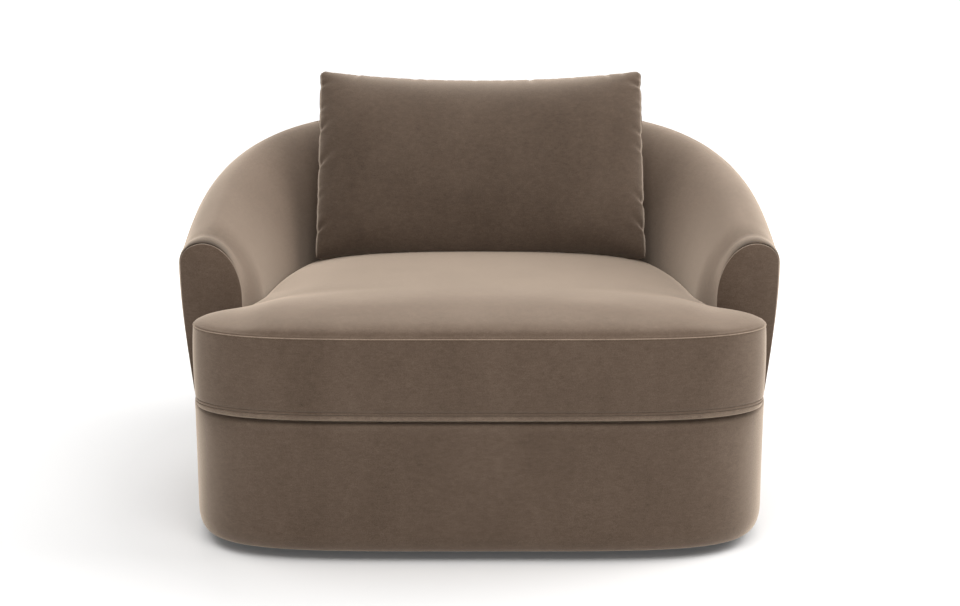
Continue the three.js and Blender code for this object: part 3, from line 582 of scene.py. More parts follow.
@dataclass(frozen=True)
class Plywood:
    """Birch plywood: long grain on its faces, thin plies on its edges."""

    name: str = "birch_plywood"
    pale: Colour = (0.62, 0.43, 0.26)
    dark: Colour = (0.40, 0.25, 0.13)
    ply: float = 0.0024

    def material(self) -> bpy.types.Material:
        """Builds the grain, the plies and a few darker streaks."""
        sketch = NodeSketch(self.name)
        sketch.surface(Specular_IOR_Level=0.3)
        grain = sketch.noise(14.0, 6.0, 0.6, sketch.stretched(1.0, 9.0, 4.0))
        fibres = sketch.noise(90.0, 4.0, 0.7, sketch.stretched(0.6, 9.0, 9.0))
        plies = sketch.waves(1.0 / (20.0 * self.ply) * 2.0 * math.pi, 0.4, "Z")
        tone = sketch.sum_of(grain, fibres, 0.4)
        tone = sketch.sum_of(tone, plies, 0.16)
        sketch.colour(tone, (0.35, self.dark), (0.62, self.pale), (1.0, self.pale))
        sketch.roughness(fibres, 0.3, 0.7, 0.55, 0.8)
        sketch.relief(fibres, 0.25, 0.0004)
        return sketch.material


@dataclass(frozen=True)
class StainedWood:
    """Black-stained board with a faint open grain and rubbed edges."""

    name: str = "black_stained_board"
    body: Colour = (0.010, 0.009, 0.008)
    rubbed: Colour = (0.035, 0.028, 0.022)

    def material(self) -> bpy.types.Material:
        """Builds the grain and the rubbed patches."""
        sketch = NodeSketch(self.name)
        sketch.surface(Specular_IOR_Level=0.4, Coat_Weight=0.15, Coat_Roughness=0.35)
        grain = sketch.noise(30.0, 6.0, 0.65, sketch.stretched(1.0, 12.0, 12.0))
        patches = sketch.noise(8.0, 3.0, 0.5)
        tone = sketch.sum_of(grain, patches, 0.4)
        sketch.colour(tone, (0.45, self.body), (1.0, self.rubbed))
        sketch.roughness(grain, 0.3, 0.7, 0.38, 0.6)
        sketch.relief(grain, 0.3, 0.0004)
        return sketch.material


@dataclass(frozen=True)
class Steel:
    """Steel with fine drawn lines, a mottled coating and dull patches."""

    name: str
    body: Colour
    dull: Colour
    smooth: float
    rough: float
    metal: float = 1.0

    def material(self) -> bpy.types.Material:
        """Builds the coating's mottling and the drawn lines."""
        sketch = NodeSketch(self.name)
        sketch.surface(Metallic=self.metal)
        drawn = sketch.noise(240.0, 3.0, 0.6, sketch.stretched(0.1, 1.0, 1.0))
        spangle = sketch.cells(95.0)
        tone = sketch.sum_of(sketch.remap(spangle, 0.0, 0.8, 0.1, 0.7), drawn, 0.4)
        sketch.colour(tone, (0.2, self.body), (0.9, self.dull))
        sketch.roughness(tone, 0.2, 1.0, self.smooth, self.rough)
        sketch.relief(drawn, 0.15, 0.0002)
        return sketch.material


@dataclass(frozen=True)
class Rubber:
    """Moulded rubber or felted plastic, dusty and matt."""

    name: str = "glide_rubber"
    body: Colour = (0.014, 0.014, 0.014)
    dusty: Colour = (0.055, 0.052, 0.048)

    def material(self) -> bpy.types.Material:
        """Builds the moulded grain and the dust."""
        sketch = NodeSketch(self.name)
        sketch.surface(Specular_IOR_Level=0.35)
        grain = sketch.noise(900.0, 2.0, 0.5)
        dust = sketch.noise(60.0, 5.0, 0.7)
        tone = sketch.sum_of(dust, grain, 0.25)
        sketch.colour(tone, (0.45, self.body), (0.95, self.dusty))
        sketch.roughness(dust, 0.3, 0.7, 0.6, 0.9)
        sketch.relief(grain, 0.3, 0.0002)
        return sketch.material


class Finish(Enum):
    """The chair's finishes, each with its definition."""

    VELVET = Velvet()
    # A darker copy of the velvet for the back pillow and its seam: painted shade over the whole pillow.
    PILLOW_VELVET = Velvet(
        "taupe_velvet_painted_shade", (0.052, 0.033, 0.022), (0.072, 0.048, 0.033), (0.102, 0.071, 0.051), 0.9
    )
    # A lighter copy of the velvet for the seat's top seam bead: a painted highlight along the seam.
    TURNED_EDGE = Velvet(
        "taupe_velvet_painted_highlight", (0.200, 0.145, 0.105), (0.270, 0.200, 0.146), (0.340, 0.258, 0.194)
    )
    LINING = WovenCloth("black_lining", (0.012, 0.011, 0.010), (0.034, 0.031, 0.029))
    DECK_CLOTH = WovenCloth("deck_cloth", (0.020, 0.018, 0.016), (0.050, 0.045, 0.040), 900.0)
    ZIP_TAPE = WovenCloth("zip_tape", (0.085, 0.062, 0.046), (0.150, 0.115, 0.088), 1800.0)
    THREAD = WovenCloth("sewing_thread", (0.075, 0.054, 0.040), (0.130, 0.098, 0.075), 3000.0)
    FOAM = Filling("cushion_foam", (0.72, 0.64, 0.44), (0.50, 0.42, 0.26), 420.0, 0.0012)
    WADDING = Filling("polyester_wadding", (0.82, 0.80, 0.75), (0.62, 0.60, 0.55), 160.0, 0.003)
    PLYWOOD = Plywood()
    BLACK_WOOD = StainedWood()
    ZINC_STEEL = Steel("zinc_plated_steel", (0.60, 0.61, 0.61), (0.40, 0.41, 0.42), 0.22, 0.48)
    SPRING_STEEL = Steel("oiled_spring_steel", (0.115, 0.118, 0.124), (0.060, 0.060, 0.062), 0.28, 0.55)
    RUBBER = Rubber()


class Wardrobe:
    """Makes each finish once and puts it on pieces and frame nodes."""

    def __init__(self) -> None:
        """Starts with no material made."""
        self.made: dict[Finish, bpy.types.Material] = {}

    def material(self, finish: Finish) -> bpy.types.Material:
        """The material of a finish, made at its first use."""
        if finish not in self.made:
            self.made[finish] = finish.value.material()
        return self.made[finish]

    def dress(self, piece: bpy.types.Object, finish: Finish, body: Body, *nodes: str) -> None:
        """Gives a new piece its finish, its body and the frame nodes that it stands for.

        Args:
            piece: The new piece, finished and in place.
            finish: Its finish.
            body: The body that it rides on.
            nodes: The nodes that it replaces.
        """
        piece.data.materials.clear()
        piece.data.materials.append(self.material(finish))
        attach(piece, body.value)
        if nodes:
            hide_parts(*nodes)
        log.info("%s: %d faces, %s", piece.name, len(piece.data.polygons), finish.name.lower())

    def dress_node(self, node: str, finish: Finish) -> None:
        """Puts a finish on a frame node that stays."""
        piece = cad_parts[node]
        for slot in piece.material_slots:
            slot.material = self.material(finish)
        log.info("%s: frame node in %s", node, finish.name.lower())


# The chair's forms, shared by its covers and fillings


@dataclass(frozen=True)
class PlanOutline:
    """A plan outline of two half superellipses that meet on the widest line."""

    half: float
    front: float
    back: float
    corner_power: float
    back_power: float = 2.5
    widest_y: float = -0.150

    def point(self, angle: float) -> np.ndarray:
        """The outline's point at an angle, 0 on the right and a quarter turn at the back."""
        c, s = math.cos(angle), math.sin(angle)
        power = 2 / (self.corner_power if s < 0 else self.back_power)
        reach = self.widest_y - self.front if s < 0 else self.back - self.widest_y
        x = self.half * math.copysign(abs(c) ** power, c)
        return np.array([x, self.widest_y + reach * math.copysign(abs(s) ** power, s)])

    def inward(self, angle: float) -> np.ndarray:
        """The direction into the plan at an angle."""
        along = self.point(angle + 1e-4) - self.point(angle - 1e-4)
        along /= np.linalg.norm(along)
        return np.array([-along[1], along[0]])

    def half_width(self, y: float) -> float:
        """Half the width of the front part at a depth."""
        share = (self.widest_y - y) / (self.widest_y - self.front)
        return self.half * (1 - share**self.corner_power) ** (1 / self.corner_power)

    def angles(self, step: float, start: float = 0.0, end: float = 2 * math.pi) -> list[float]:
        """Angles from start to end whose points lie about a step apart along the outline."""
        fine = np.linspace(start, end, 4001)
        run = distances_along([self.point(a) for a in fine])
        count = max(2, round(run[-1] / step))
        return list(np.interp(np.linspace(0, run[-1], count + 1), run, fine))


RIM = PlanOutline(0.610, -0.535, 0.535, 3.1)
BASE = PlanOutline(0.577, -0.526, 0.511, 4.6)
CUSHION_FRONT = PlanOutline(0.593, -0.535, 0.535, 4.75)
DECK_HEIGHT = 0.290
SEAM_HEIGHT = 0.4556
FRAME_FOOT = 0.2579
FLARE_TOP = 0.5407
ARM_FRONT = -0.320
WALL_START = -0.3096
COVER_START = -0.3168
CORNER_SEAM = math.radians(52.5)
CORNER_RADIUS = 0.5
WALL_STEP = 0.011
CORNER_STEPS = (0.0, 0.0004, 0.001, 0.002, 0.0035, 0.006, 0.010)
FOOT_PROUD = 0.0015
SEAM_GAP = 0.0004
OUTER_SHARE = 0.22


@dataclass(frozen=True)
class WallForm:
    """The sizes that the wall's sections run between, from the front of the arms round to the back."""

    front_height: float = 0.594
    arm_height: float = 0.600
    back_height: float = 0.748
    rise_start: float = -0.280
    rise_length: float = 0.760
    lift: float = 0.006
    lift_length: float = 0.30
    steep_length: float = 0.034
    gentle_length: float = 0.095
    steep_share: float = 0.62
    widening_length: float = 0.115
    growth_length: float = 0.740
    front_thickness: float = 0.121
    arm_thickness: float = 0.153
    back_thickness: float = 0.235
    outer_spans: tuple[float, float] = (0.045, 0.070)
    outer_drops: tuple[float, float] = (0.038, 0.092)
    front_inner_drop: float = 0.110
    inner_foot: float = 0.455
    powers: tuple[float, float] = (2.0, 1.7)


FORM = WallForm()


@dataclass
class WallStation:
    """One upright section of the arms and back, square to their outline."""

    point: np.ndarray
    normal: np.ndarray
    foot_inset: float
    run: float = 0.0
    height: float = field(init=False)
    thickness: float = field(init=False)
    outer_span: float = field(init=False)
    outer_drop: float = field(init=False)
    inner_drop: float = field(init=False)
    power: float = field(init=False)

    def __post_init__(self) -> None:
        """Works out the section's height, thickness and roll from its place."""
        y = self.point[1]
        behind = y - COVER_START
        steep, gentle = (clamp_share(behind / span) for span in (FORM.steep_length, FORM.gentle_length))
        shoulder = FORM.steep_share * math.sqrt(1 - (1 - steep) ** 2)
        shoulder += (1 - FORM.steep_share) * (1 - (1 - gentle) ** 2.4)
        widening = math.sin(math.pi / 2 * clamp_share(behind / FORM.widening_length))
        rise = 1 - (1 - clamp_share((y - FORM.rise_start) / FORM.rise_length)) ** 1.3
        growth = clamp_share((y - ARM_FRONT) / FORM.growth_length)
        full_height = mix(FORM.arm_height, FORM.back_height, rise)
        full_height += FORM.lift * (1 - clamp_share(behind / FORM.lift_length)) ** 2
        full_thickness = mix(FORM.arm_thickness, FORM.back_thickness, growth)
        self.height = mix(FORM.front_height, full_height, shoulder)
        self.thickness = mix(FORM.front_thickness, full_thickness, widening)
        self.outer_span = mix(*FORM.outer_spans, widening)
        self.outer_drop = mix(*FORM.outer_drops, widening)
        self.inner_drop = mix(FORM.front_inner_drop, full_height - FORM.inner_foot, widening)
        self.power = mix(*FORM.powers, widening)

    @classmethod
    def at_depth(cls, y: float) -> "WallStation":
        """The right arm's station at a depth in front of the widest line."""
        half = RIM.half_width(y)
        return cls(np.array([half, y]), np.array([-1.0, 0.0]), half - BASE.half_width(y) - FOOT_PROUD)

    @classmethod
    def at_angle(cls, angle: float) -> "WallStation":
        """The station at an angle round the back half."""
        point, normal = RIM.point(angle), RIM.inward(angle)
        return cls(point, normal, float((BASE.point(angle) - point) @ normal) - FOOT_PROUD)

    def place(self, inset: float, z: float) -> np.ndarray:
        """The point at an inset from the outside and a height. The outside leans in to the base."""
        upright = math.sin(math.pi / 2 * clamp_share((z - DECK_HEIGHT) / (FLARE_TOP - DECK_HEIGHT)))
        lean = (1 - upright) * (1 - clamp_share(inset / self.thickness))
        x, y = self.point + self.normal * (inset + lean * self.foot_inset)
        return np.array([x, y, z])

    def over_roll(self, share: float, margin: float) -> np.ndarray:
        """A point over the roll, from its outer edge at share 0 to the top of the foot at share 1.

        Args:
            share: How far over the roll; its outer quarter turn takes the first OUTER_SHARE.
            margin: How far the point lies under the outer face.

        Returns:
            The point.
        """
        if share < OUTER_SHARE:
            turn = share / OUTER_SHARE * math.pi / 2
            inset = self.outer_span - (self.outer_span - margin) * math.cos(turn)
            z = self.height - self.outer_drop + (self.outer_drop - margin) * math.sin(turn)
            return self.place(inset, z)
        turn = (share - OUTER_SHARE) / (1 - OUTER_SHARE) * math.pi / 2
        span = self.thickness - self.outer_span - margin
        inset = self.outer_span + span * math.sin(turn) ** (2 / self.power)
        fall = max(0.0, math.cos(turn)) ** (2 / self.power)
        return self.place(inset, self.height - self.inner_drop + (self.inner_drop - margin) * fall)


def spread_over_roll(station: WallStation, margin_at: Callable[[float], float], foot: float) -> np.ndarray:
    """Points evenly spread over a station's roll and down its inside.

    Args:
        station: The section.
        margin_at: Gives how far the cloth lies under the outer face, from the run along the section.
        foot: The height of the lowest point inside.

    Returns:
        The points, closer together at the outer edge.
    """
    shares, down = np.linspace(0, 1, 141), np.linspace(0, 1, 12)[1:]
    foot_top = station.height - station.inner_drop

    def point(key: float, margin: float) -> np.ndarray:
        if key <= 1:
            return station.over_roll(key, margin)
        return station.place(station.thickness - margin, mix(foot_top, foot, key - 1))

    keys = np.concatenate([shares, 1.0 + down])
    run = distances_along([point(key, 0.0) for key in keys])
    marks = [*SEAM_STEPS, *np.linspace(SEAM_STEPS[-1], run[-1], 64)[1:]]
    return np.array([point(float(np.interp(mark, run, keys)), margin_at(mark)) for mark in marks])


def arm_stations(start: float, step: float = WALL_STEP) -> list[WallStation]:
    """Stations along the right arm, from its front to the seam at the back corner."""
    length = RIM.widest_y - start
    swell = [0, 0.0003, 0.0008, 0.0015, 0.0025, 0.004, 0.006, 0.0085, 0.0115, 0.015, 0.019, 0.024, 0.030]
    ahead = swell + even_steps(0.037, length, step)
    stations = [WallStation.at_depth(start + d) for d in ahead]
    stations += [WallStation.at_angle(a) for a in RIM.angles(step, 0.0, CORNER_SEAM)[1:-1]]
    stations += [WallStation.at_angle(CORNER_SEAM - d / CORNER_RADIUS) for d in reversed(CORNER_STEPS)]
    return with_runs(stations)


def back_stations(step: float = WALL_STEP) -> list[WallStation]:
    """Stations round the back, between the seams at its corners."""
    start, end, clear = CORNER_SEAM, math.pi - CORNER_SEAM, 0.03
    angles = [start + d / CORNER_RADIUS for d in CORNER_STEPS]
    angles += [a for a in RIM.angles(step, start, end)[1:-1] if start + clear < a < end - clear]
    angles += [end - d / CORNER_RADIUS for d in reversed(CORNER_STEPS)]
    return with_runs([WallStation.at_angle(a) for a in angles])


def with_runs(stations: list[WallStation]) -> list[WallStation]:
    """Notes on each station how far along the row it lies."""
    run = 0.0
    for before, station in zip([stations[0], *stations], stations):
        run += float(np.linalg.norm(station.point - before.point))
        station.run = run
    return stations


# Fitted covers


@dataclass
class WallCovers:
    """The velvet of the arms and back: inside covers, outside covers and the arm facings."""

    wardrobe: Wardrobe
    cloth: float = 0.003
    seam_radius: float = 0.0032
    corner_roll: float = 0.0016
    # Reach of the painted shade behind the facing: how far back it fades out, and the height it starts from.
    dent_shade_length: float = 0.10
    dent_shade_foot: float = 0.535
    facing_puff: float = 0.0070
    puff_width: float = 0.042
    spine_drop: float = 0.053
    facing_roll: float = 0.0014
    facing_depth: float = COVER_START - ARM_FRONT - 0.0002
    front_roll: float = 0.0018
    deepest_roll: float = 0.004
    row_step: float = 0.016

    def end_roll(self, station: WallStation, whole: float, both: bool) -> float:
        """How far a station's cloth has rolled in towards the upright seams at the cover's two ends."""
        start = rolled_edge(station.run, self.corner_roll if both else self.front_roll)
        return rolled_edge(whole - station.run, self.corner_roll) + start

    def inside(self, stations: list[WallStation], both: bool) -> np.ndarray:
        """The outer face of an inside cover, from the outer edge of the roll down to the deck."""
        rows = []
        for station in stations:
            end = self.end_roll(station, stations[-1].run, both)

            def margin_at(run: float, end: float = end) -> float:
                return min(self.deepest_roll, end + rolled_edge(run, self.seam_radius))

            rows.append(spread_over_roll(station, margin_at, FRAME_FOOT))
        return np.array(rows)

    def outside(self, stations: list[WallStation], both: bool) -> np.ndarray:
        """The outer face of an outside cover, from the base up to the edge of the roll."""
        foot, rows = DECK_HEIGHT + SEAM_GAP, []
        for station in stations:
            end = self.end_roll(station, stations[-1].run, both)
            span = station.height - station.outer_drop - SEAM_GAP - foot
            row = []
            for mark in edge_steps(span, self.row_step, True, True):
                edge = rolled_edge(mark, self.seam_radius) + rolled_edge(span - mark, self.seam_radius)
                row.append(station.place(min(self.deepest_roll, end + edge), foot + mark))
            rows.append(row)
        longest = max(len(row) for row in rows)
        return np.array([self.respaced(row, longest) for row in rows])

    @staticmethod
    def respaced(row: list[np.ndarray], count: int) -> list[np.ndarray]:
        """A row with its wide middle part divided again, so that all rows have the same count."""
        if len(row) == count:
            return row
        fine = len(SEAM_STEPS)
        middle = np.array(row[fine - 1 : 1 - fine])
        old, new = np.linspace(0, 1, len(middle)), np.linspace(0, 1, count - 2 * fine + 2)
        filled = np.stack([np.interp(new, old, middle[:, k]) for k in range(3)], 1)
        return [*row[:fine], *filled[1:-1], *row[-fine:]]

    def facing(self) -> np.ndarray:
        """The facing's front: rings from its edge in to the line up its middle."""
        station = WallStation.at_depth(ARM_FRONT)
        spine_top = station.height - self.spine_drop
        levels = np.linspace(DECK_HEIGHT + SEAM_GAP, spine_top, 26)
        inner_start = station.height - station.inner_drop

        def inner_point(z: float) -> np.ndarray:
            fall = clamp_share((z - inner_start) / station.inner_drop)
            span = station.thickness - station.outer_span
            inset = station.outer_span + span * (1 - fall**station.power) ** (1 / station.power)
            return station.place(inset, z)

        outer, inner = [station.place(0.0, z) for z in levels], [inner_point(z) for z in levels]
        middles = [(a + b) / 2 for a, b in zip(outer, inner)]
        arch = [station.over_roll(share, 0.0) for share in np.linspace(0, 1, 181)]
        arch = [p for p in arch if p[2] > spine_top + 0.002][::3]
        edges = np.array([*outer, *arch, *inner[::-1]])
        spines = np.array([*middles, *[middles[-1]] * len(arch), *middles[::-1]])
        reach = np.linalg.norm(spines - edges, axis=1)
        depths = [0.0, 0.0, 0.0006, 0.0014, 0.0026, 0.0044, 0.007, 0.011, 0.017, 0.025, 0.034, 0.043, 1.0]
        rings = []
        for number, depth in enumerate(depths):
            inward = np.minimum(depth, reach)
            ring = edges + (spines - edges) * (inward / reach)[:, None]
            swell = np.minimum(1.0, inward / self.puff_width)
            rise = self.facing_puff * np.sin(np.pi / 2 * swell)
            back = np.array([rolled_edge(float(d), self.facing_roll) for d in inward])
            ring[:, 1] = ARM_FRONT + (self.facing_depth if number == 0 else back - rise)
            rings.append(ring)
        return np.array(rings)

    def build(self) -> list[bpy.types.Object]:
        """Builds and dresses all the wall's covers.

        Returns:
            The inside covers, which the loose pillow and cushion keep clear of.
        """
        arms, back = arm_stations(COVER_START), back_stations()
        inside_arm, outside_arm = self.inside(arms, False), self.outside(arms, False)
        facing, inside_covers = self.facing(), []
        for side in Side:
            word, flip = side.name.lower(), side is Side.LEFT
            inner = sheet_piece(f"inside_arm_velvet_{word}", mirrored(inside_arm, side), self.cloth, flip)
            self.paint_dent_shade(inner)
            self.wardrobe.dress(inner, Finish.VELVET, Body.CHAIR, f"inside_arm_cover_{word}")
            outer = sheet_piece(f"outside_arm_velvet_{word}", mirrored(outside_arm, side), self.cloth, flip)
            self.wardrobe.dress(outer, Finish.VELVET, Body.CHAIR, f"outside_arm_cover_{word}")
            front = self.facing_piece(f"arm_facing_velvet_{word}", mirrored(facing, side))
            self.wardrobe.dress(front, Finish.VELVET, Body.CHAIR, f"arm_facing_{word}")
            inside_covers.append(inner)
        inner = sheet_piece("inside_back_velvet", self.inside(back, True), self.cloth)
        self.wardrobe.dress(inner, Finish.VELVET, Body.CHAIR, "inside_back_cover")
        outer = sheet_piece("outside_back_velvet", self.outside(back, True), self.cloth)
        self.wardrobe.dress(outer, Finish.VELVET, Body.CHAIR, "outside_back_cover")
        return [*inside_covers, inner]

    def paint_dent_shade(self, piece: bpy.types.Object) -> None:
        """Paints shade into the dent over the arm's front, right behind the facing's seam: the velvet is
        marked darker there, fading backwards and downwards.
        """
        points = points_of(piece)
        near = (1 - np.clip((points[:, 1] - COVER_START) / self.dent_shade_length, 0, 1)) ** 1.5
        high = np.clip((points[:, 2] - self.dent_shade_foot) / 0.045, 0, 1)
        # Painted shade: a negative mark darkens the velvet towards its darkest stop.
        mark_points(piece, PAINTED_SHEEN_AND_SHADE, -near * smooth_share(high))

    def facing_piece(self, name: str, rings: np.ndarray) -> bpy.types.Object:
        """Closes a facing's rings into one padded panel with a flat back."""
        piece = mesh_piece(name, rings.reshape(-1, 3), sheet_faces(*rings.shape[:2]))
        with open_mesh(piece) as mesh:
            bmesh.ops.remove_doubles(mesh, verts=mesh.verts, dist=2e-5)
            open_edges = [edge for edge in mesh.edges if edge.is_boundary]
            bmesh.ops.holes_fill(mesh, edges=open_edges, sides=0)
            bmesh.ops.recalc_face_normals(mesh, faces=mesh.faces)
            for face in mesh.faces:
                face.smooth = len(face.verts) < 5
        return piece


@dataclass
class BaseCover:
    """The upholstered base: its velvet from the crease at the top to the hem beneath."""

    wardrobe: Wardrobe
    cloth: float = 0.003
    step: float = 0.011
    low: float = 0.022
    hem_round: float = 0.017
    hem_rise: float = 0.038
    straight_top: float = 0.2770
    top_round: float = 0.0100
    crease: float = 0.0136
    wander: float = 0.0007
    wander_foot: float = 0.03
    wander_span: float = 0.25

    def profile(self) -> list[tuple[float, float]]:
        """The cover's (inset, height) line, from the hem's inner edge to the crease at the deck."""
        line = [(inset, self.low) for inset in (0.034, 0.028, 0.022)]
        quarter = np.linspace(0, math.pi / 2, 14)
        hem_top = self.low + self.hem_rise
        for turn in quarter:
            line.append((self.hem_round * (1 - math.sin(turn)), hem_top - self.hem_rise * math.cos(turn)))
        line += [(0.0, z) for z in np.linspace(hem_top, self.straight_top, 20)[1:-1]]
        for turn in quarter:
            rise = self.top_round * math.sin(turn)
            line.append((self.top_round * (1 - math.cos(turn)), self.straight_top + rise))
        return [*line, (self.crease, self.straight_top + self.top_round)]

    def grid(self) -> np.ndarray:
        """The cover's outer face, all the way round."""
        rows = []
        for angle in BASE.angles(self.step)[:-1]:
            point, normal = BASE.point(angle), BASE.inward(angle)
            row = []
            for inset, z in self.profile():
                level = math.sin(math.pi * clamp_share((z - self.wander_foot) / self.wander_span))
                drift = math.sin(7 * angle + 9 * z) + 0.6 * math.sin(17 * angle - 14 * z + 1.3)
                x, y = point + normal * (inset + self.wander * level * (0.5 + 0.5 * drift))
                row.append((x, y, z))
            rows.append(row)
        return np.array(rows)

    def build(self) -> None:
        """Builds and dresses the cover."""
        grid = self.grid()
        closed = np.concatenate([grid, grid[:1]])
        piece = mesh_piece("base_velvet", closed.reshape(-1, 3), sheet_faces(*closed.shape[:2]))
        heights = closed[:, :, 2].reshape(-1)
        # Painted highlights: the velvet is marked lighter on the hem's roll underneath and on the rounded
        # top edge.
        painted_sheen_share = np.interp(heights, (0.022, 0.026, 0.034, 0.272, 0.282, 0.287), (0.5, 0.35, 0, 0, 0.55, 0.4))
        mark_points(piece, PAINTED_SHEEN_AND_SHADE, painted_sheen_share)
        with open_mesh(piece) as mesh:
            bmesh.ops.remove_doubles(mesh, verts=mesh.verts, dist=1e-6)
        thicken(piece, self.cloth)
        self.wardrobe.dress(piece, Finish.VELVET, Body.CHAIR, "base_cover")


# Loose cushions

HALVINGS = 50
ROUNDING_REACH = 0.13
ROUNDING_SPAN = 0.34
VELVET_CLOTH = {
    "quality": 6,
    "mass": 0.25,
    "tension_stiffness": 18,
    "compression_stiffness": 14,
    "shear_stiffness": 8,
    "bending_stiffness": 0.6,
}


@dataclass
class SeatPlan:
    """Plan of the seat cushion: a full front, round ears before the arms, and the shape between them."""

    front: PlanOutline = CUSHION_FRONT
    gap: float = 0.002
    rear: float = 0.274
    ear_back: float = -0.329
    ear_radius: float = 0.082
    ear_straight: float = 0.012
    step: float = 0.010

    def corner(self, radius: float) -> tuple[float, np.ndarray, float]:
        """Where an ear's round corner leaves the front outline, its centre and its first turn."""
        low, high = -math.pi / 2, 0.0
        for _ in range(HALVINGS):
            middle = (low + high) / 2
            centre = self.front.point(middle) + self.front.inward(middle) * radius
            low, high = (middle, high) if centre[1] < self.ear_back - radius else (low, middle)
        centre = self.front.point(low) + self.front.inward(low) * radius
        leave = self.front.point(low) - centre
        return low, centre, math.atan2(leave[1], leave[0])

    def outline(self) -> np.ndarray:
        """Even points round the plan, anticlockwise from the middle of the front."""
        facing = WallStation.at_depth(ARM_FRONT)
        facing_x = facing.point[0] - facing.thickness - self.gap
        radius, widest = 0.0, self.ear_radius
        for _ in range(HALVINGS):
            middle = (radius + widest) / 2
            reach = facing_x + self.ear_straight - self.corner(middle)[1][0]
            radius, widest = (middle, widest) if reach < 0 else (radius, middle)
        angle, centre, turn = self.corner(radius)
        half = [self.front.point(a) for a in np.linspace(-math.pi / 2, angle, 200)]
        for t in np.linspace(turn, math.pi / 2, 60):
            half.append(centre + radius * np.array([math.cos(t), math.sin(t)]))
        half += [np.array([x, self.ear_back]) for x in np.linspace(centre[0], facing_x, 12)[1:]]
        half += [np.array([facing_x, y]) for y in np.linspace(self.ear_back, WALL_START, 8)[1:]]
        stations = [WallStation.at_depth(y) for y in np.linspace(WALL_START, RIM.widest_y, 60)[1:]]
        stations += [WallStation.at_angle(a) for a in np.linspace(0, math.pi / 2, 160)[1:]]
        for station in stations:
            p = station.point + station.normal * (station.thickness + self.gap)
            half.append(np.array([max(p[0], 0.0), min(p[1], self.rear)]))
        right, run = np.array(half), distances_along(half)
        keep = np.concatenate([[True], np.diff(run) > 1e-9])
        marks = np.linspace(0, run[-1], round(run[-1] / self.step) + 1)
        even = np.stack([np.interp(marks, run[keep], right[keep][:, k]) for k in range(2)], 1)
        left = even[1:-1][::-1] * np.array([-1.0, 1.0])
        return evened(np.vstack([even, left]), 2)


def line_normals(line: np.ndarray) -> np.ndarray:
    """Inward normals of a closed anticlockwise line."""
    along = np.roll(line, -1, 0) - np.roll(line, 1, 0)
    along /= np.linalg.norm(along, axis=1, keepdims=True)
    return np.stack([-along[:, 1], along[:, 0]], 1)


def drawn_in(plan: np.ndarray, centre: np.ndarray, share: float) -> np.ndarray:
    """A closed plan drawn in about a centre, and rounder the further in it lies.

    Args:
        plan: The plan's points.
        centre: The point that it is drawn in to.
        share: What is left of its size.

    Returns:
        The drawn-in points.
    """
    reach = plan - centre
    step = float(np.mean(np.linalg.norm(plan - np.roll(plan, 1, 0), axis=1)))
    rounder = evened(reach, round(2 * (ROUNDING_REACH / step) ** 2))
    ease = smooth_share(clamp_share((1 - share) / ROUNDING_SPAN))
    return centre + share * (reach + (rounder - reach) * ease)


def puffed(piece: bpy.types.Object, pinned: np.ndarray, pressure: float, limit: float, frames: int) -> None:
    """Fills a closed cover like a cushion with a cloth simulation, and applies it.

    Args:
        piece: The closed cover.
        pinned: How firmly each point is held, from 0 to 1.
        pressure: The pressure inside.
        limit: The furthest that a point may move.
        frames: How many frames the simulation runs.
    """
    rest = points_of(piece)
    group = piece.vertex_groups.new(name="held")
    weights = np.round(pinned, 2)
    for weight in np.unique(weights[weights > 0]):
        group.add(np.nonzero(weights == weight)[0].tolist(), float(weight), "REPLACE")
    cloth = piece.modifiers.new("fill", "CLOTH")
    cloth.settings.use_pressure = True
    cloth.settings.uniform_pressure_force = pressure
    cloth.settings.vertex_group_mass = "held"
    cloth.settings.effector_weights.gravity = 0.0
    for name, value in VELVET_CLOTH.items():
        setattr(cloth.settings, name, value)
    cloth.point_cache.frame_start = 1
    cloth.point_cache.frame_end = frames
    scene = bpy.context.scene
    for number in range(1, frames + 1):
        scene.frame_set(number)
    apply_modifiers(piece)
    scene.frame_set(1)
    piece.vertex_groups.clear()
    step = points_of(piece) - rest
    far = np.linalg.norm(step, axis=1, keepdims=True)
    set_points(piece, rest + step * np.minimum(1.0, limit / np.maximum(far, 1e-9)))


def calmed(moves: np.ndarray, still: np.ndarray, passes: int, loop: bool) -> np.ndarray:
    """Averages the moves of a grid of points with their neighbours, so that no sharp creases are left.

    Args:
        moves: How far each point of the grid moved.
        still: Which points stay where they are.
        passes: How often each point is averaged.
        loop: Whether the grid's columns close on themselves.

    Returns:
        The calmed moves.
    """
    moves = np.where(still[..., None], 0.0, moves)
    for _ in range(passes):
        for axis in (0, 1):
            before, after = np.roll(moves, 1, axis), np.roll(moves, -1, axis)
            if axis == 0 or not loop:
                first, last = [slice(None)] * 2, [slice(None)] * 2
                first[axis], last[axis] = 0, -1
                before[tuple(first)] = moves[tuple(first)]
                after[tuple(last)] = moves[tuple(last)]
            moves = moves * 0.5 + (before + after) * 0.25
            moves[still] = 0.0
    return moves


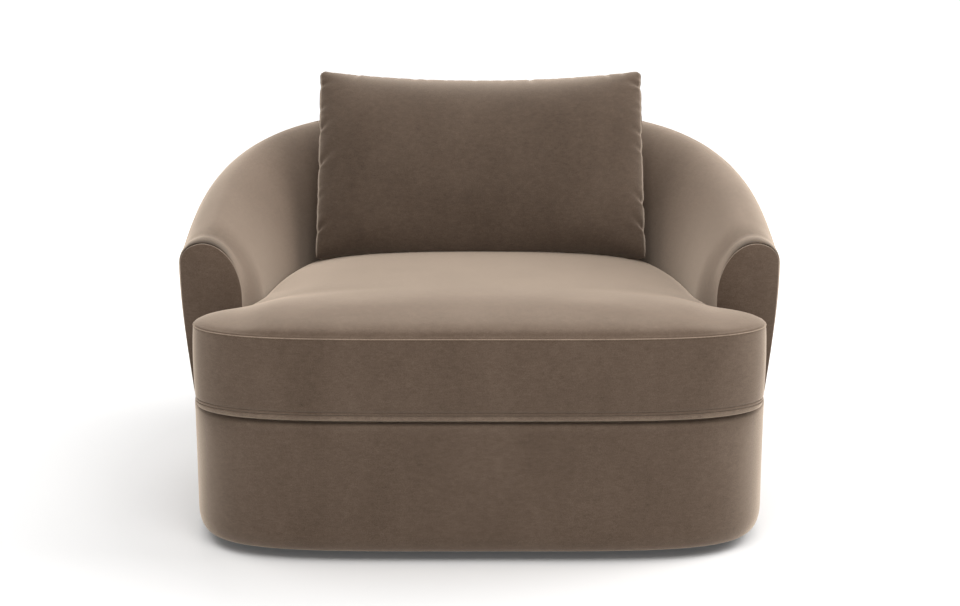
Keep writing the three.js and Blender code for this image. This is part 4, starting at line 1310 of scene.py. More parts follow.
@dataclass
class SeatCushion:
    """The loose seat cushion: a boxed velvet cover with a fine top seam and two stitched lines below."""

    wardrobe: Wardrobe
    bottom: float = 0.2926
    sag: float = 0.0030
    stitch_draw: float = 0.0015
    crown: float = 0.043
    box_swell: float = 0.003
    fold_swell: float = 0.0012
    edge_round: float = 0.009
    bead: float = 0.0011
    thread: float = 0.0006
    stitch_rises: tuple[float, float] = (0.0125, 0.0185)
    ear_fall: float = 0.36
    ear_aside: float = 0.395
    ear_ahead: float = -0.235
    ear_blend: tuple[float, float] = (0.085, 0.09)
    ear_edge: float = 0.004
    centre: tuple[float, float] = (0.0, -0.300)
    top_rings: int = 40
    top_inset: float = 0.0048
    top_edge: float = 0.0056
    seam_tuck: float = 0.0014
    pressure: float = 3.0
    reach: float = 0.005
    crown_points: tuple[tuple[float, float], ...] = (
        (0.0, 1.0),
        (0.25, 0.978),
        (0.50, 0.90),
        (0.70, 0.785),
        (0.85, 0.60),
        (0.94, 0.385),
        (0.982, 0.195),
        (1.0, 0.0),
    )

    def rise(self, share: float) -> float:
        """The crown's rise at a share of the way out from its middle, as a smooth curve."""
        xs = np.array([p[0] for p in self.crown_points])
        ys = np.array([p[1] for p in self.crown_points])
        spans, falls = np.diff(xs), np.diff(ys)
        slopes = falls / spans
        tangents = np.zeros(len(xs))
        for k in range(1, len(xs) - 1):
            if slopes[k - 1] * slopes[k] > 0:
                w1, w2 = 2 * spans[k] + spans[k - 1], spans[k] + 2 * spans[k - 1]
                tangents[k] = (w1 + w2) / (w1 / slopes[k - 1] + w2 / slopes[k])
        tangents[-1] = slopes[-1] * 1.2
        k = int(min(max(np.searchsorted(xs, share) - 1, 0), len(spans) - 1))
        t = (share - xs[k]) / spans[k]
        h00, h10 = (1 + 2 * t) * (1 - t) ** 2, t * (1 - t) ** 2
        h01, h11 = t * t * (3 - 2 * t), t * t * (t - 1)
        return float(
            h00 * ys[k] + h10 * spans[k] * tangents[k] + h01 * ys[k + 1] + h11 * spans[k] * tangents[k + 1]
        )

    def eased_ears(self, points: np.ndarray) -> np.ndarray:
        """Lets the crown fall away over the two front ears, where the foam is cut thinner."""
        out = np.clip((np.abs(points[:, 0]) - self.ear_aside) / self.ear_blend[0], 0, 1)
        ahead = np.clip((self.ear_ahead - points[:, 1]) / self.ear_blend[1], 0, 1)
        rise = np.maximum(0.0, points[:, 2] - SEAM_HEIGHT - self.ear_edge)
        eased = points.copy()
        eased[:, 2] -= rise * self.ear_fall * smooth_share(out) * smooth_share(ahead)
        return eased

    def rings(self, plan: np.ndarray) -> tuple[list[np.ndarray], int, list[int]]:
        """The cushion's rings from the middle of its underside up to the middle of its top.

        Args:
            plan: The plan's outline.

        Returns:
            The rings, the number of the top seam's ring and those of the stitched lines.
        """
        normals, centre = line_normals(plan), np.array(self.centre)
        low, seam = self.bottom, SEAM_HEIGHT

        def side(inset: float, z: float) -> np.ndarray:
            return at_height(plan + normals * inset, z)

        def shrunk(inset: float, share: float, z: float) -> np.ndarray:
            return at_height(drawn_in(plan + normals * inset, centre, share), z)

        shares = (0.02, 0.1, 0.25, 0.4, 0.55, 0.7, 0.82, 0.91, 0.96, 0.985)
        rings = [shrunk(self.edge_round, s, low - self.sag * (1 - s**6)) for s in shares]
        for turn in np.linspace(0, math.pi / 2, 6):
            inset = self.edge_round - (self.edge_round - self.box_swell) * math.sin(turn)
            rings.append(side(inset, low + self.edge_round * (1 - math.cos(turn))))
        heights = [0.0106, 0.0117, 0.0125, 0.0133, 0.0145]
        heights += [0.0168, 0.0177, 0.0185, 0.0193, 0.0207, 0.024, 0.030]
        heights += list(np.linspace(0.038, seam - low - 0.008, 15))
        heights += [seam - low - drop for drop in (0.005, 0.003, 0.0014)]
        stitches = []
        for rise in heights:
            share = (rise - self.edge_round) / (seam - low - self.edge_round)
            bulge = self.box_swell * (1 - math.sin(math.pi * clamp_share(share)) ** 0.7)
            bulge -= self.fold_swell * math.sin(math.pi * clamp_share((rise - 0.006) / 0.0064))
            if rise in self.stitch_rises:
                stitches.append(len(rings))
            rings.append(side(bulge, low + rise))
        seam_ring = len(rings)
        rings.append(side(self.box_swell + self.seam_tuck, seam))
        for inset, rise in ((0.0036, 0.0012), (0.0037, 0.0026), (0.0041, 0.0042)):
            rings.append(side(inset, seam + rise))
        for share in (1 - np.linspace(0, 1, self.top_rings) ** 1.6)[:-1]:
            z = seam + self.top_edge + (self.crown - self.top_edge) * self.rise(share)
            rings.append(shrunk(self.top_inset, max(share, 0.02), z))
        return rings, seam_ring, stitches

    def build(self) -> bpy.types.Object:
        """Builds, fills and dresses the cushion's cover and its sewn lines.

        Returns:
            The cover, which the pillow rests on.
        """
        plan = SeatPlan().outline()
        rings, seam_ring, stitches = self.rings(plan)
        count, size = len(rings), len(plan)
        middle_low = np.array([*self.centre, self.bottom - self.sag])
        middle_high = np.array([*self.centre, SEAM_HEIGHT + self.crown])
        points = self.eased_ears(np.vstack([*rings, middle_low, middle_high]))
        faces = [face[::-1] for face in stack_faces(count, size)]
        piece = mesh_piece("seat_cushion_velvet", points, faces)
        turn_out(piece)
        points = points_of(piece)
        numbers = np.arange(len(points)) // size
        # Painted highlights: the velvet is marked lighter on the bottom roll, below the lower stitched line
        # and between the stitched lines.
        sheen_rings, marks = (10, 11, 12, 14, 16, 17, 18, 20, 22), (0, 0.7, 1, 1, 0.75, 0.6, 0, 0.3, 0)
        painted_sheen_share = np.interp(numbers, sheen_rings, marks)
        mark_points(piece, PAINTED_SHEEN_AND_SHADE, painted_sheen_share)
        pinned = np.zeros(len(points))
        pinned[np.abs(numbers - seam_ring) == 1] = 0.7
        pinned[(numbers <= 15) | np.isin(numbers, [seam_ring, *stitches])] = 1.0
        pinned[(points[:, 1] > ARM_FRONT - 0.02) & (numbers <= seam_ring + 3)] = 1.0
        puffed(piece, pinned, self.pressure, self.reach, 14)
        moves = (points_of(piece) - points)[:-2].reshape(count, size, 3)
        still = (pinned[:-2] >= 1.0).reshape(count, size)
        rested = points.copy()
        rested[:-2] += calmed(moves, still, 36, True).reshape(-1, 3)
        rested[-1] = rested[-2 - size : -2].mean(0) + np.array([0.0, 0.0, 1e-5])
        set_points(piece, rested)
        self.sew(piece, size, seam_ring, stitches)
        self.wardrobe.dress(piece, Finish.VELVET, Body.SEAT, "seat_cushion_cover")
        return piece

    def sew(self, piece: bpy.types.Object, size: int, seam_ring: int, stitches: list[int]) -> None:
        """Draws the cloth in along its seams and lays the sewn beads in them."""
        points, normals = points_of(piece), normals_of(piece)
        for ring in stitches:
            for aside, draw in ((-1, 0.45), (0, 1.0), (1, 0.45)):
                span = slice((ring + aside) * size, (ring + aside + 1) * size)
                points[span] -= normals[span] * self.stitch_draw * draw
        set_points(piece, points)
        seam = points[seam_ring * size : (seam_ring + 1) * size]
        bead_line = seam + at_height(line_normals(seam[:, :2]) * -self.seam_tuck, 0.0)
        bead = tube_piece("seat_top_seam_bead", bead_line, self.bead, 8)
        # The bead's lighter velvet paints a highlight along the top seam.
        self.wardrobe.dress(bead, Finish.TURNED_EDGE, Body.SEAT)
        for number, ring in enumerate(stitches, 1):
            line = points[ring * size : (ring + 1) * size]
            thread = tube_piece(f"seat_stitched_line_{number}", line, self.thread, 6)
            self.wardrobe.dress(thread, Finish.THREAD, Body.SEAT)


class PillowEdge(Enum):
    """The pillow's sewn edges: a point on each, and the way in from it, in shares across and up."""

    LEFT = ((0.0, 0.0), (0.0, 1.0), (1.0, 0.0))
    RIGHT = ((1.0, 0.0), (0.0, 1.0), (-1.0, 0.0))
    TOP = ((0.0, 1.0), (1.0, 0.0), (0.0, -1.0))
    FOOT = ((0.0, 0.0), (1.0, 0.0), (0.0, 1.0))


@dataclass(frozen=True)
class Pucker:
    """A short crease that runs in from a sewn edge, where the thread has drawn the cloth."""

    edge: PillowEdge
    place: float
    length: float
    slant: float
    depth: float
    notch: float
    width: float = 0.0038
    widening: float = 0.16
    ridge_aside: float = 2.1

    def shift(self, flat: np.ndarray, size: tuple[float, float]) -> tuple[np.ndarray, np.ndarray]:
        """How the crease moves the panel's points.

        Args:
            flat: The points across and up the flat panel, in metres.
            size: The panel's width and height.

        Returns:
            The fall into the panel of each point, and its move in the panel's plane.
        """
        start, along, inward = (np.array(v) for v in self.edge.value)
        root = (start + along * self.place) * np.array(size)
        way = inward * math.cos(self.slant) + along * math.sin(self.slant)
        square = np.array([-way[1], way[0]])
        reach, off = (flat - root) @ way, (flat - root) @ square
        width = self.width + self.widening * np.clip(reach, 0, None)
        fade = np.clip(1 - reach / self.length, 0, 1) ** 1.4 * np.clip(1 + reach / 0.004, 0, 1)
        valley = np.exp(-((off / width) ** 2))
        ridge = 0.42 * np.exp(-(((off - self.ridge_aside * width) / (1.2 * width)) ** 2))
        ridge += 0.30 * np.exp(-(((off + self.ridge_aside * width) / (1.3 * width)) ** 2))
        depth_in, beside = (flat - root) @ inward, (flat - root) @ along
        drawn = np.exp(-((beside / 0.0075) ** 2)) * np.exp(-np.clip(depth_in, 0, None) / 0.012)
        return self.depth * (valley - ridge) * fade, (self.notch * drawn)[:, None] * inward


def twice_as_fine(grid: np.ndarray) -> np.ndarray:
    """A grid of points with a smooth middle point put into every step, along both ways."""
    for axis in (0, 1):
        rows = np.moveaxis(grid, axis, 0)
        ends = np.concatenate([2 * rows[:1] - rows[1:2], rows, 2 * rows[-1:] - rows[-2:-1]])
        middle = (9 * (ends[1:-2] + ends[2:-1]) - ends[:-3] - ends[3:]) / 16
        fine = np.empty((2 * len(rows) - 1, *rows.shape[1:]))
        fine[::2], fine[1::2] = rows, middle
        grid = np.moveaxis(fine, 0, axis)
    return grid


PointKey = tuple[int, int, int]


def point_key(i: int, j: int, side: int, columns: int, rows: int) -> PointKey:
    """A pillow point's column, row and panel; the points of the rim belong to both panels, as 0."""
    return i, j, 0 if i in (0, columns) or j in (0, rows) else side


@dataclass
class BackPillow:
    """The loose back pillow: two full panels that meet in a knife edge with small puckers."""

    wardrobe: Wardrobe
    half_width: float = 0.3615
    aside: float = 0.0024
    corner_round: float = 0.0055
    corner_spans: tuple[float, float] = (0.045, 0.07)
    foot_corner_share: float = 0.25
    height: float = 0.444
    front_swell: float = 0.082
    back_swell: float = 0.150
    wrap: float = 0.045
    side_draw: float = 0.001
    top_draw: float = 0.0085
    foot_draw: float = 0.005
    lean: float = math.radians(-30)
    foot: tuple[float, float] = (0.084, 0.462)
    columns: int = 110
    rows: int = 68
    clearance: float = 0.0012
    seat_clearance: float = 0.0008
    seam_thread: float = 0.0008
    pressure: float = 6.0
    reach: float = 0.020

    def local(self, u: float, v: float, side: int, fullness: float = 1.0) -> np.ndarray:
        """A point of the pillow before it leans, from its place across and up it.

        Args:
            u: Across, from -1 to 1.
            v: Up, from -1 to 1.
            side: -1 for the front panel and 1 for the back.
            fullness: The share of the panel's full swell.

        Returns:
            The point.
        """
        power = 8 if v < 0 else 4
        draw = self.foot_draw if v < 0 else self.top_draw
        across = 1 - abs(u) ** 4
        swell = math.sqrt(max(0.0, across * (1 - abs(v) ** power)))
        reach = self.front_swell if side < 0 else self.back_swell
        near_side, near_edge = ((abs(at) - 1 + span) / span for at, span in zip((u, v), self.corner_spans))
        corner = self.corner_round * (clamp_share(near_side) * clamp_share(near_edge)) ** 2
        corner *= 1.0 if v > 0 else self.foot_corner_share
        x = (self.half_width - self.side_draw * (1 - v * v) - corner) * u + self.aside
        z = self.height / 2 + (self.height / 2 - draw * across - corner) * v
        return np.array([x, side * reach * swell * fullness - self.wrap * u * u, z])

    def lean_back(self, points: np.ndarray) -> np.ndarray:
        """Leans upright points back and sets them on the seat."""
        c, s = math.cos(self.lean), math.sin(self.lean)
        y = points[:, 1] * c - points[:, 2] * s + self.foot[0]
        z = points[:, 1] * s + points[:, 2] * c + self.foot[1]
        return np.column_stack([points[:, 0], y, z])

    def build(self, walls: Sequence[bpy.types.Object], seat: bpy.types.Object) -> bpy.types.Object:
        """Builds, fills and dresses the pillow.

        Args:
            walls: The inside covers that it leans on.
            seat: The seat cushion that it stands on.

        Returns:
            The finished cover.
        """
        trees = [surface_tree(wall) for wall in walls]
        us, vs = self.spacing(self.columns), self.spacing(self.rows)
        number, tags, points = {}, [], []
        for side in (-1, 1):
            for i, u in enumerate(us):
                for j, v in enumerate(vs):
                    key = point_key(i, j, side, self.columns, self.rows)
                    if key not in number:
                        number[key] = len(points)
                        tags.append(key)
                        points.append(self.local(float(u), float(v), side))
        placed, resting = self.settle(self.lean_back(np.array(points)), tags, trees, surface_tree(seat))
        flat = mesh_piece("pillow_before_filling", placed, self.panel_faces(number, self.columns, self.rows))
        turn_out(flat)
        pinned = np.where(resting, 1.0, 0.0)
        for k, (_, _, side) in enumerate(tags):
            if side == 0:
                pinned[k] = 1.0
            elif side > 0:
                pinned[k] = max(pinned[k], 0.3)
        puffed(flat, pinned, self.pressure, self.reach, 16)
        filled = points_of(flat)
        for side in (-1, 1):
            still = self.panel_grid(pinned, number, side) >= 1.0
            moves = calmed(self.panel_grid(filled - placed, number, side), still, 30, False)
            for i in range(1, self.columns):
                for j in range(1, self.rows):
                    k = number[(i, j, side)]
                    filled[k] = placed[k] + moves[i, j]
        bpy.data.objects.remove(flat)
        return self.sewn(filled, number)

    @staticmethod
    def spacing(count: int) -> np.ndarray:
        """Places from -1 to 1, closer together at the sewn edges."""
        even = np.linspace(-1, 1, count + 1)
        return 0.55 * np.sin(np.pi / 2 * even) + 0.45 * even

    def panel_grid(self, values: np.ndarray, number: dict[PointKey, int], side: int) -> np.ndarray:
        """The values of one panel's points, set out by their columns and rows."""
        columns, rows = self.columns, self.rows
        keys = [[point_key(i, j, side, columns, rows) for j in range(rows + 1)] for i in range(columns + 1)]
        return values[np.array([[number[key] for key in line] for line in keys])]

    @staticmethod
    def panel_faces(number: dict[PointKey, int], columns: int, rows: int) -> list[list[int]]:
        """Quads of both panels, which share the points of their rim."""
        faces = []
        for side in (-1, 1):
            for i in range(columns):
                for j in range(rows):
                    corners = ((i, j), (i + 1, j), (i + 1, j + 1), (i, j + 1))
                    quad = [number[point_key(a, b, side, columns, rows)] for a, b in corners]
                    faces.append(quad if side < 0 else quad[::-1])
        return faces

    def puckers(self) -> list[Pucker]:
        """The larger creases, and between them small ones spread along the seams."""
        left, right, top = PillowEdge.LEFT, PillowEdge.RIGHT, PillowEdge.TOP
        turn = math.radians(38)
        large = [
            Pucker(left, 0.910, 0.039, turn * 0.5, 0.0024, 0.0018),
            Pucker(left, 0.776, 0.033, turn * 0.8, 0.0020, 0.0012),
            Pucker(left, 0.665, 0.051, turn, 0.0032, 0.0026),
            Pucker(left, 0.475, 0.075, turn * 1.1, 0.0036, 0.0026),
            Pucker(left, 0.300, 0.033, turn * 0.7, 0.0016, 0.0012),
            Pucker(left, 0.130, 0.054, turn * 0.9, 0.0034, 0.0020),
            Pucker(right, 0.905, 0.048, turn * 0.6, 0.0030, 0.0026),
            Pucker(right, 0.770, 0.027, turn * 0.4, 0.0014, 0.0010),
            Pucker(right, 0.640, 0.039, turn * 0.7, 0.0022, 0.0018),
            Pucker(right, 0.550, 0.036, turn * 0.9, 0.0020, 0.0014),
            Pucker(right, 0.280, 0.054, turn, 0.0032, 0.0030),
            Pucker(right, 0.140, 0.066, turn * 1.1, 0.0040, 0.0026),
            Pucker(top, 0.655, 0.026, 0.3, 0.0020, 0.0012),
            Pucker(top, 0.300, 0.018, -0.2, 0.0012, 0.0008),
            Pucker(top, 0.120, 0.030, -0.5, 0.0022, 0.0010),
            Pucker(top, 0.890, 0.030, 0.5, 0.0022, 0.0010),
        ]
        draw = np.random.default_rng(11)
        small = []
        for edge, count in ((left, 13), (right, 13), (top, 22), (PillowEdge.FOOT, 22)):
            for k in range(count):
                place = (k + 0.5 + draw.uniform(-0.3, 0.3)) / count
                length, depth = draw.uniform(0.010, 0.020), draw.uniform(0.0005, 0.0012)
                slant = draw.uniform(-0.5, 0.7)
                small.append(Pucker(edge, place, length, slant, depth, depth * 0.7, 0.0030))
        return large + small

    def sewn(self, filled: np.ndarray, number: dict[PointKey, int]) -> bpy.types.Object:
        """Draws the filled cover in along its seams, and lays the seam's thread.

        Args:
            filled: The cover's points as the filling left them.
            number: Which point stands where in the panels.

        Returns:
            The finished cover.
        """
        size = (2 * self.half_width, self.height)
        flat = np.stack(np.meshgrid(self.spacing(self.columns), self.spacing(self.rows), indexing="ij"), -1)
        flat = twice_as_fine((flat + 1) / 2 * np.array(size))
        columns, rows = 2 * self.columns, 2 * self.rows
        points, fine_number = [], {}
        up = self.lean_back(np.array([[0.0, 0.0, 1.0]]))[0] - self.lean_back(np.zeros((1, 3)))[0]
        plane = np.array([[1.0, 0.0, 0.0], up])
        for side in (-1, 1):
            grid = twice_as_fine(self.panel_grid(filled, number, side))
            across, along = np.gradient(grid, axis=0), np.gradient(grid, axis=1)
            normals = np.cross(across, along) * (1 if side < 0 else -1)
            normals /= np.maximum(np.linalg.norm(normals, axis=2, keepdims=True), 1e-12)
            fall, drawn = np.zeros(grid.shape[:2]), np.zeros((*grid.shape[:2], 2))
            for pucker in self.puckers():
                down, move = pucker.shift(flat.reshape(-1, 2), size)
                fall += down.reshape(fall.shape)
                drawn += move.reshape(drawn.shape)
            near = np.clip(np.minimum(flat, np.array(size) - flat).min(axis=2) / 0.006, 0, 1)
            grid = grid - normals * (fall * near * np.sqrt(near))[..., None] + drawn @ plane
            for i in range(columns + 1):
                for j in range(rows + 1):
                    key = point_key(i, j, side, columns, rows)
                    if key not in fine_number:
                        fine_number[key] = len(points)
                        points.append(grid[i, j])
        placed = np.array(points)
        piece = mesh_piece("back_pillow_velvet", placed, self.panel_faces(fine_number, columns, rows))
        turn_out(piece)
        # The darker velvet copy paints shade over the whole pillow.
        self.wardrobe.dress(piece, Finish.PILLOW_VELVET, Body.PILLOW, "back_pillow_cover")
        rim = [(i, 0) for i in range(columns)] + [(columns, j) for j in range(rows)]
        rim += [(i, rows) for i in range(columns, 0, -1)] + [(0, j) for j in range(rows, 0, -1)]
        rim_line = placed[[fine_number[(i, j, 0)] for i, j in rim]]
        seam = tube_piece("pillow_edge_seam", rim_line, self.seam_thread, 6)
        self.wardrobe.dress(seam, Finish.PILLOW_VELVET, Body.PILLOW)
        return piece

    def settle(
        self, placed: np.ndarray, tags: list[PointKey], walls: list[BVHTree], seat: BVHTree
    ) -> tuple[np.ndarray, np.ndarray]:
        """Draws the panels in where they meet the wall, and lifts them off the seat.

        Args:
            placed: The pillow's points, leant back.
            tags: Each point's column, row and panel.
            walls: The walls' faces.
            seat: The seat's faces.

        Returns:
            The settled points, and which of them rest on something.
        """
        us, vs = self.spacing(self.columns), self.spacing(self.rows)
        resting = np.zeros(len(placed), bool)

        def inside_wall(p: np.ndarray) -> bool:
            for wall in walls:
                hit, normal, _, distance = wall.find_nearest(Vector(p), 0.2)
                if hit is None:
                    continue
                ahead = (Vector(p) - hit).dot(normal)
                if ahead < self.clearance and (distance < 0.08 or ahead < 0):
                    return True
            return False

        for k, (i, j, side) in enumerate(tags):

            def filled_to(fullness: float) -> np.ndarray:
                return self.lean_back(self.local(float(us[i]), float(vs[j]), side, fullness)[None])[0]

            if side > 0 and inside_wall(placed[k]):
                low, high = -0.4, 1.0
                for _ in range(12):
                    middle = (low + high) / 2
                    low, high = (low, middle) if inside_wall(filled_to(middle)) else (middle, high)
                placed[k] = filled_to(low)
                resting[k] = True
            hit = seat.ray_cast(Vector((placed[k][0], placed[k][1], 1.5)), Vector((0, 0, -1)))[0]
            if hit is not None and placed[k][2] < hit.z + self.seat_clearance:
                placed[k][2] = hit.z + self.seat_clearance
                resting[k] = True
        return placed, resting


# Fillings, linings and the zip


@dataclass
class WallFillings:
    """The wadding over the arms and back, under their velvet."""

    wardrobe: Wardrobe
    margin: float = 0.0045
    inside: float = 0.073
    outside: float = 0.033
    rail_top: float = 0.062

    def section(self, station: WallStation) -> np.ndarray:
        """One station's closed section, over the roll and back along the frame."""
        over = [station.over_roll(s, self.margin) for s in np.linspace(0, 1, 26)]
        foot, top = FRAME_FOOT + 0.0006, station.height - self.rail_top
        outer_foot = station.height - station.outer_drop + 0.001
        frame_side = [(station.thickness - self.margin, foot), (self.inside, foot), (self.inside, top)]
        frame_side += [(self.outside, top), (self.outside, outer_foot)]
        return np.array(over + [station.place(inset, z) for inset, z in frame_side])

    def pad(self, name: str, stations: list[WallStation], side: Side) -> bpy.types.Object:
        """Sweeps the section along its stations and closes both ends."""
        points = mirrored(np.array([self.section(s) for s in stations]), side)
        count, size = points.shape[:2]
        faces = sheet_faces(count, size, loop=True)
        faces += [list(range(size)), [(count - 1) * size + k for k in range(size)]]
        piece = mesh_piece(name, points.reshape(-1, 3), faces)
        turn_out(piece)
        return piece

    def build(self) -> None:
        """Builds and dresses the pads of both arms and of the back."""
        arm = [s for s in arm_stations(-0.2940, 0.028) if s.point[1] > -0.2935][:-2]
        for side in Side:
            word = side.name.lower()
            pad = self.pad(f"arm_wadding_{word}", arm, side)
            self.wardrobe.dress(pad, Finish.WADDING, Body.CHAIR, f"arm_pad_{word}")
        pad = self.pad("back_wadding", back_stations(0.030)[2:-2], Side.RIGHT)
        self.wardrobe.dress(pad, Finish.WADDING, Body.CHAIR, "back_pad")


@dataclass
class Deck:
    """What lies under the loose cushion: foam on the springs and a stretched deck cloth."""

    wardrobe: Wardrobe
    front: PlanOutline = PlanOutline(0.562, -0.511, 0.496, 4.6)
    centre: tuple[float, float] = (0.0, -0.300)
    sag: float = 0.0022
    low: float = 0.2870
    high: float = 0.2900
    pad_low: float = 0.2667
    pad_high: float = 0.2866
    spring_pitch: float = 0.115

    def outline(self) -> np.ndarray:
        """The deck's plan, with tighter ears than the cushion's."""
        plan = SeatPlan(front=self.front, ear_back=-0.3102, ear_radius=0.020, ear_straight=0.006, step=0.014)
        return plan.outline()

    def level_ring(self, plan: np.ndarray, inset: float, share: float, z: float, sag: float) -> np.ndarray:
        """A ring drawn in and shrunk to the middle, sagging between the springs."""
        centre = np.array(self.centre)
        ring = (plan + line_normals(plan) * inset - centre) * share + centre
        fall = sag * (0.5 - 0.5 * np.cos(ring[:, 0] * 2 * math.pi / self.spring_pitch)) * (1 - share) ** 0.4
        return at_height(ring, z - fall)

    def build(self) -> None:
        """Builds and dresses the deck cloth, the foam and the stitched border."""
        plan = self.outline()
        shares = [1.0, 0.985, 0.96, 0.92, 0.86, 0.78, 0.68, 0.57, 0.46, 0.35, 0.24, 0.13, 0.04]
        rings = [self.level_ring(plan, 0.0008, s, self.low, 0.0) for s in reversed(shares)]
        rings.append(self.level_ring(plan, 0.0008, 1.0, self.high, 0.0))
        rings += [self.level_ring(plan, 0.0, s, self.high - 0.0002, self.sag) for s in shares[1:]]
        cloth = rings_piece("deck_cloth", rings)
        self.wardrobe.dress(cloth, Finish.DECK_CLOTH, Body.CHAIR, "deck_cover")
        low, high = self.pad_low, self.pad_high
        rings = [self.level_ring(plan, 0.005, s, low, 0.0) for s in reversed(shares)]
        sides = ((0.002, low + 0.003), (0.001, low + 0.010), (0.002, high - 0.003), (0.005, high - 0.0003))
        rings += [self.level_ring(plan, inset, 1.0, z, 0.0) for inset, z in sides]
        rings += [self.level_ring(plan, 0.005, s, high - 0.0003, self.sag) for s in shares[1:]]
        pad = rings_piece("deck_foam", rings)
        self.wardrobe.dress(pad, Finish.FOAM, Body.CHAIR, "deck_pad")
        line = self.level_ring(plan, 0.014, 1.0, self.high + 0.0001, 0.0)
        thread = tube_piece("deck_stitching", line, 0.0007, 6)
        self.wardrobe.dress(thread, Finish.THREAD, Body.CHAIR)


@dataclass
class Fillings:
    """The loose fillings: the cushion's foam, the pillow's insert, and the base's wadding."""

    wardrobe: Wardrobe
    foam_margin: float = 0.010
    insert_share: float = 0.962
    base_margin: float = 0.0042
    base_deepest: float = 0.0134
    base_wall: float = 0.0137

    def cushion_foam(self) -> None:
        """Cuts the foam to the cushion's plan, crowned on top, and wraps its edges round."""
        cushion, plan = SeatCushion(self.wardrobe), SeatPlan(step=0.020).outline()
        normals, centre, margin = line_normals(plan), np.array(cushion.centre), self.foam_margin

        def ring(inset: float, share: float, z: float) -> np.ndarray:
            return at_height(drawn_in(plan + normals * (inset + margin), centre, share), z)

        low, seam = cushion.bottom + 0.004, SEAM_HEIGHT
        rings = [ring(0.006, s, low) for s in (0.05, 0.3, 0.6, 0.85, 0.97, 1.0)]
        rings += [ring(0.002, 1.0, low + 0.004), ring(0.0, 1.0, low + 0.012)]
        rings += [ring(0.0, 1.0, z) for z in np.linspace(low + 0.03, seam - 0.03, 6)]
        rings += [ring(0.002, 1.0, seam - 0.012), ring(0.008, 1.0, seam - 0.006)]
        for share in (0.97, 0.94, 0.9, 0.84, 0.76, 0.65, 0.5, 0.35, 0.2, 0.05):
            rings.append(ring(0.006, share, seam - margin + cushion.crown * cushion.rise(share) - 0.002))
        foam = rings_piece("seat_foam_core", rings)
        self.wardrobe.dress(foam, Finish.FOAM, Body.SEAT, "seat_cushion_foam")

    def base_wadding(self) -> None:
        """Lays the wadding between the base's wall and its velvet."""
        profile, top, wall = BaseCover(self.wardrobe).profile(), 0.2840, self.base_wall
        section = [(min(i + self.base_margin, self.base_deepest), z) for i, z in profile[5::2] if z < top]
        section += [(wall, top), (wall, 0.0515)]
        grid = []
        for angle in BASE.angles(0.030)[:-1]:
            point, normal = BASE.point(angle), BASE.inward(angle)
            grid.append([(*(point + normal * inset), z) for inset, z in section])
        rows = np.array(grid)
        pad = mesh_piece("base_wadding", rows.reshape(-1, 3), ring_faces(*rows.shape[:2]))
        turn_out(pad)
        self.wardrobe.dress(pad, Finish.WADDING, Body.CHAIR, "base_padding")

    def pillow_insert(self, cover: bpy.types.Object) -> None:
        """Sews the insert a little smaller than the pillow's cover, with softer edges.

        Args:
            cover: The finished cover.
        """
        insert = linked("pillow_insert", cover.data.copy())
        insert.data.name = "pillow_insert"
        with open_mesh(insert) as mesh:
            for _ in range(10):
                bmesh.ops.smooth_vert(
                    mesh, verts=mesh.verts, factor=0.5, use_axis_x=True, use_axis_y=True, use_axis_z=True
                )
            mesh.normal_update()
            middle = sum((v.co for v in mesh.verts), Vector()) / len(mesh.verts)
            for v in mesh.verts:
                v.co -= v.normal * 0.005
                v.co = middle + (v.co - middle) * self.insert_share
        self.wardrobe.dress(insert, Finish.WADDING, Body.PILLOW, "back_pillow_insert")


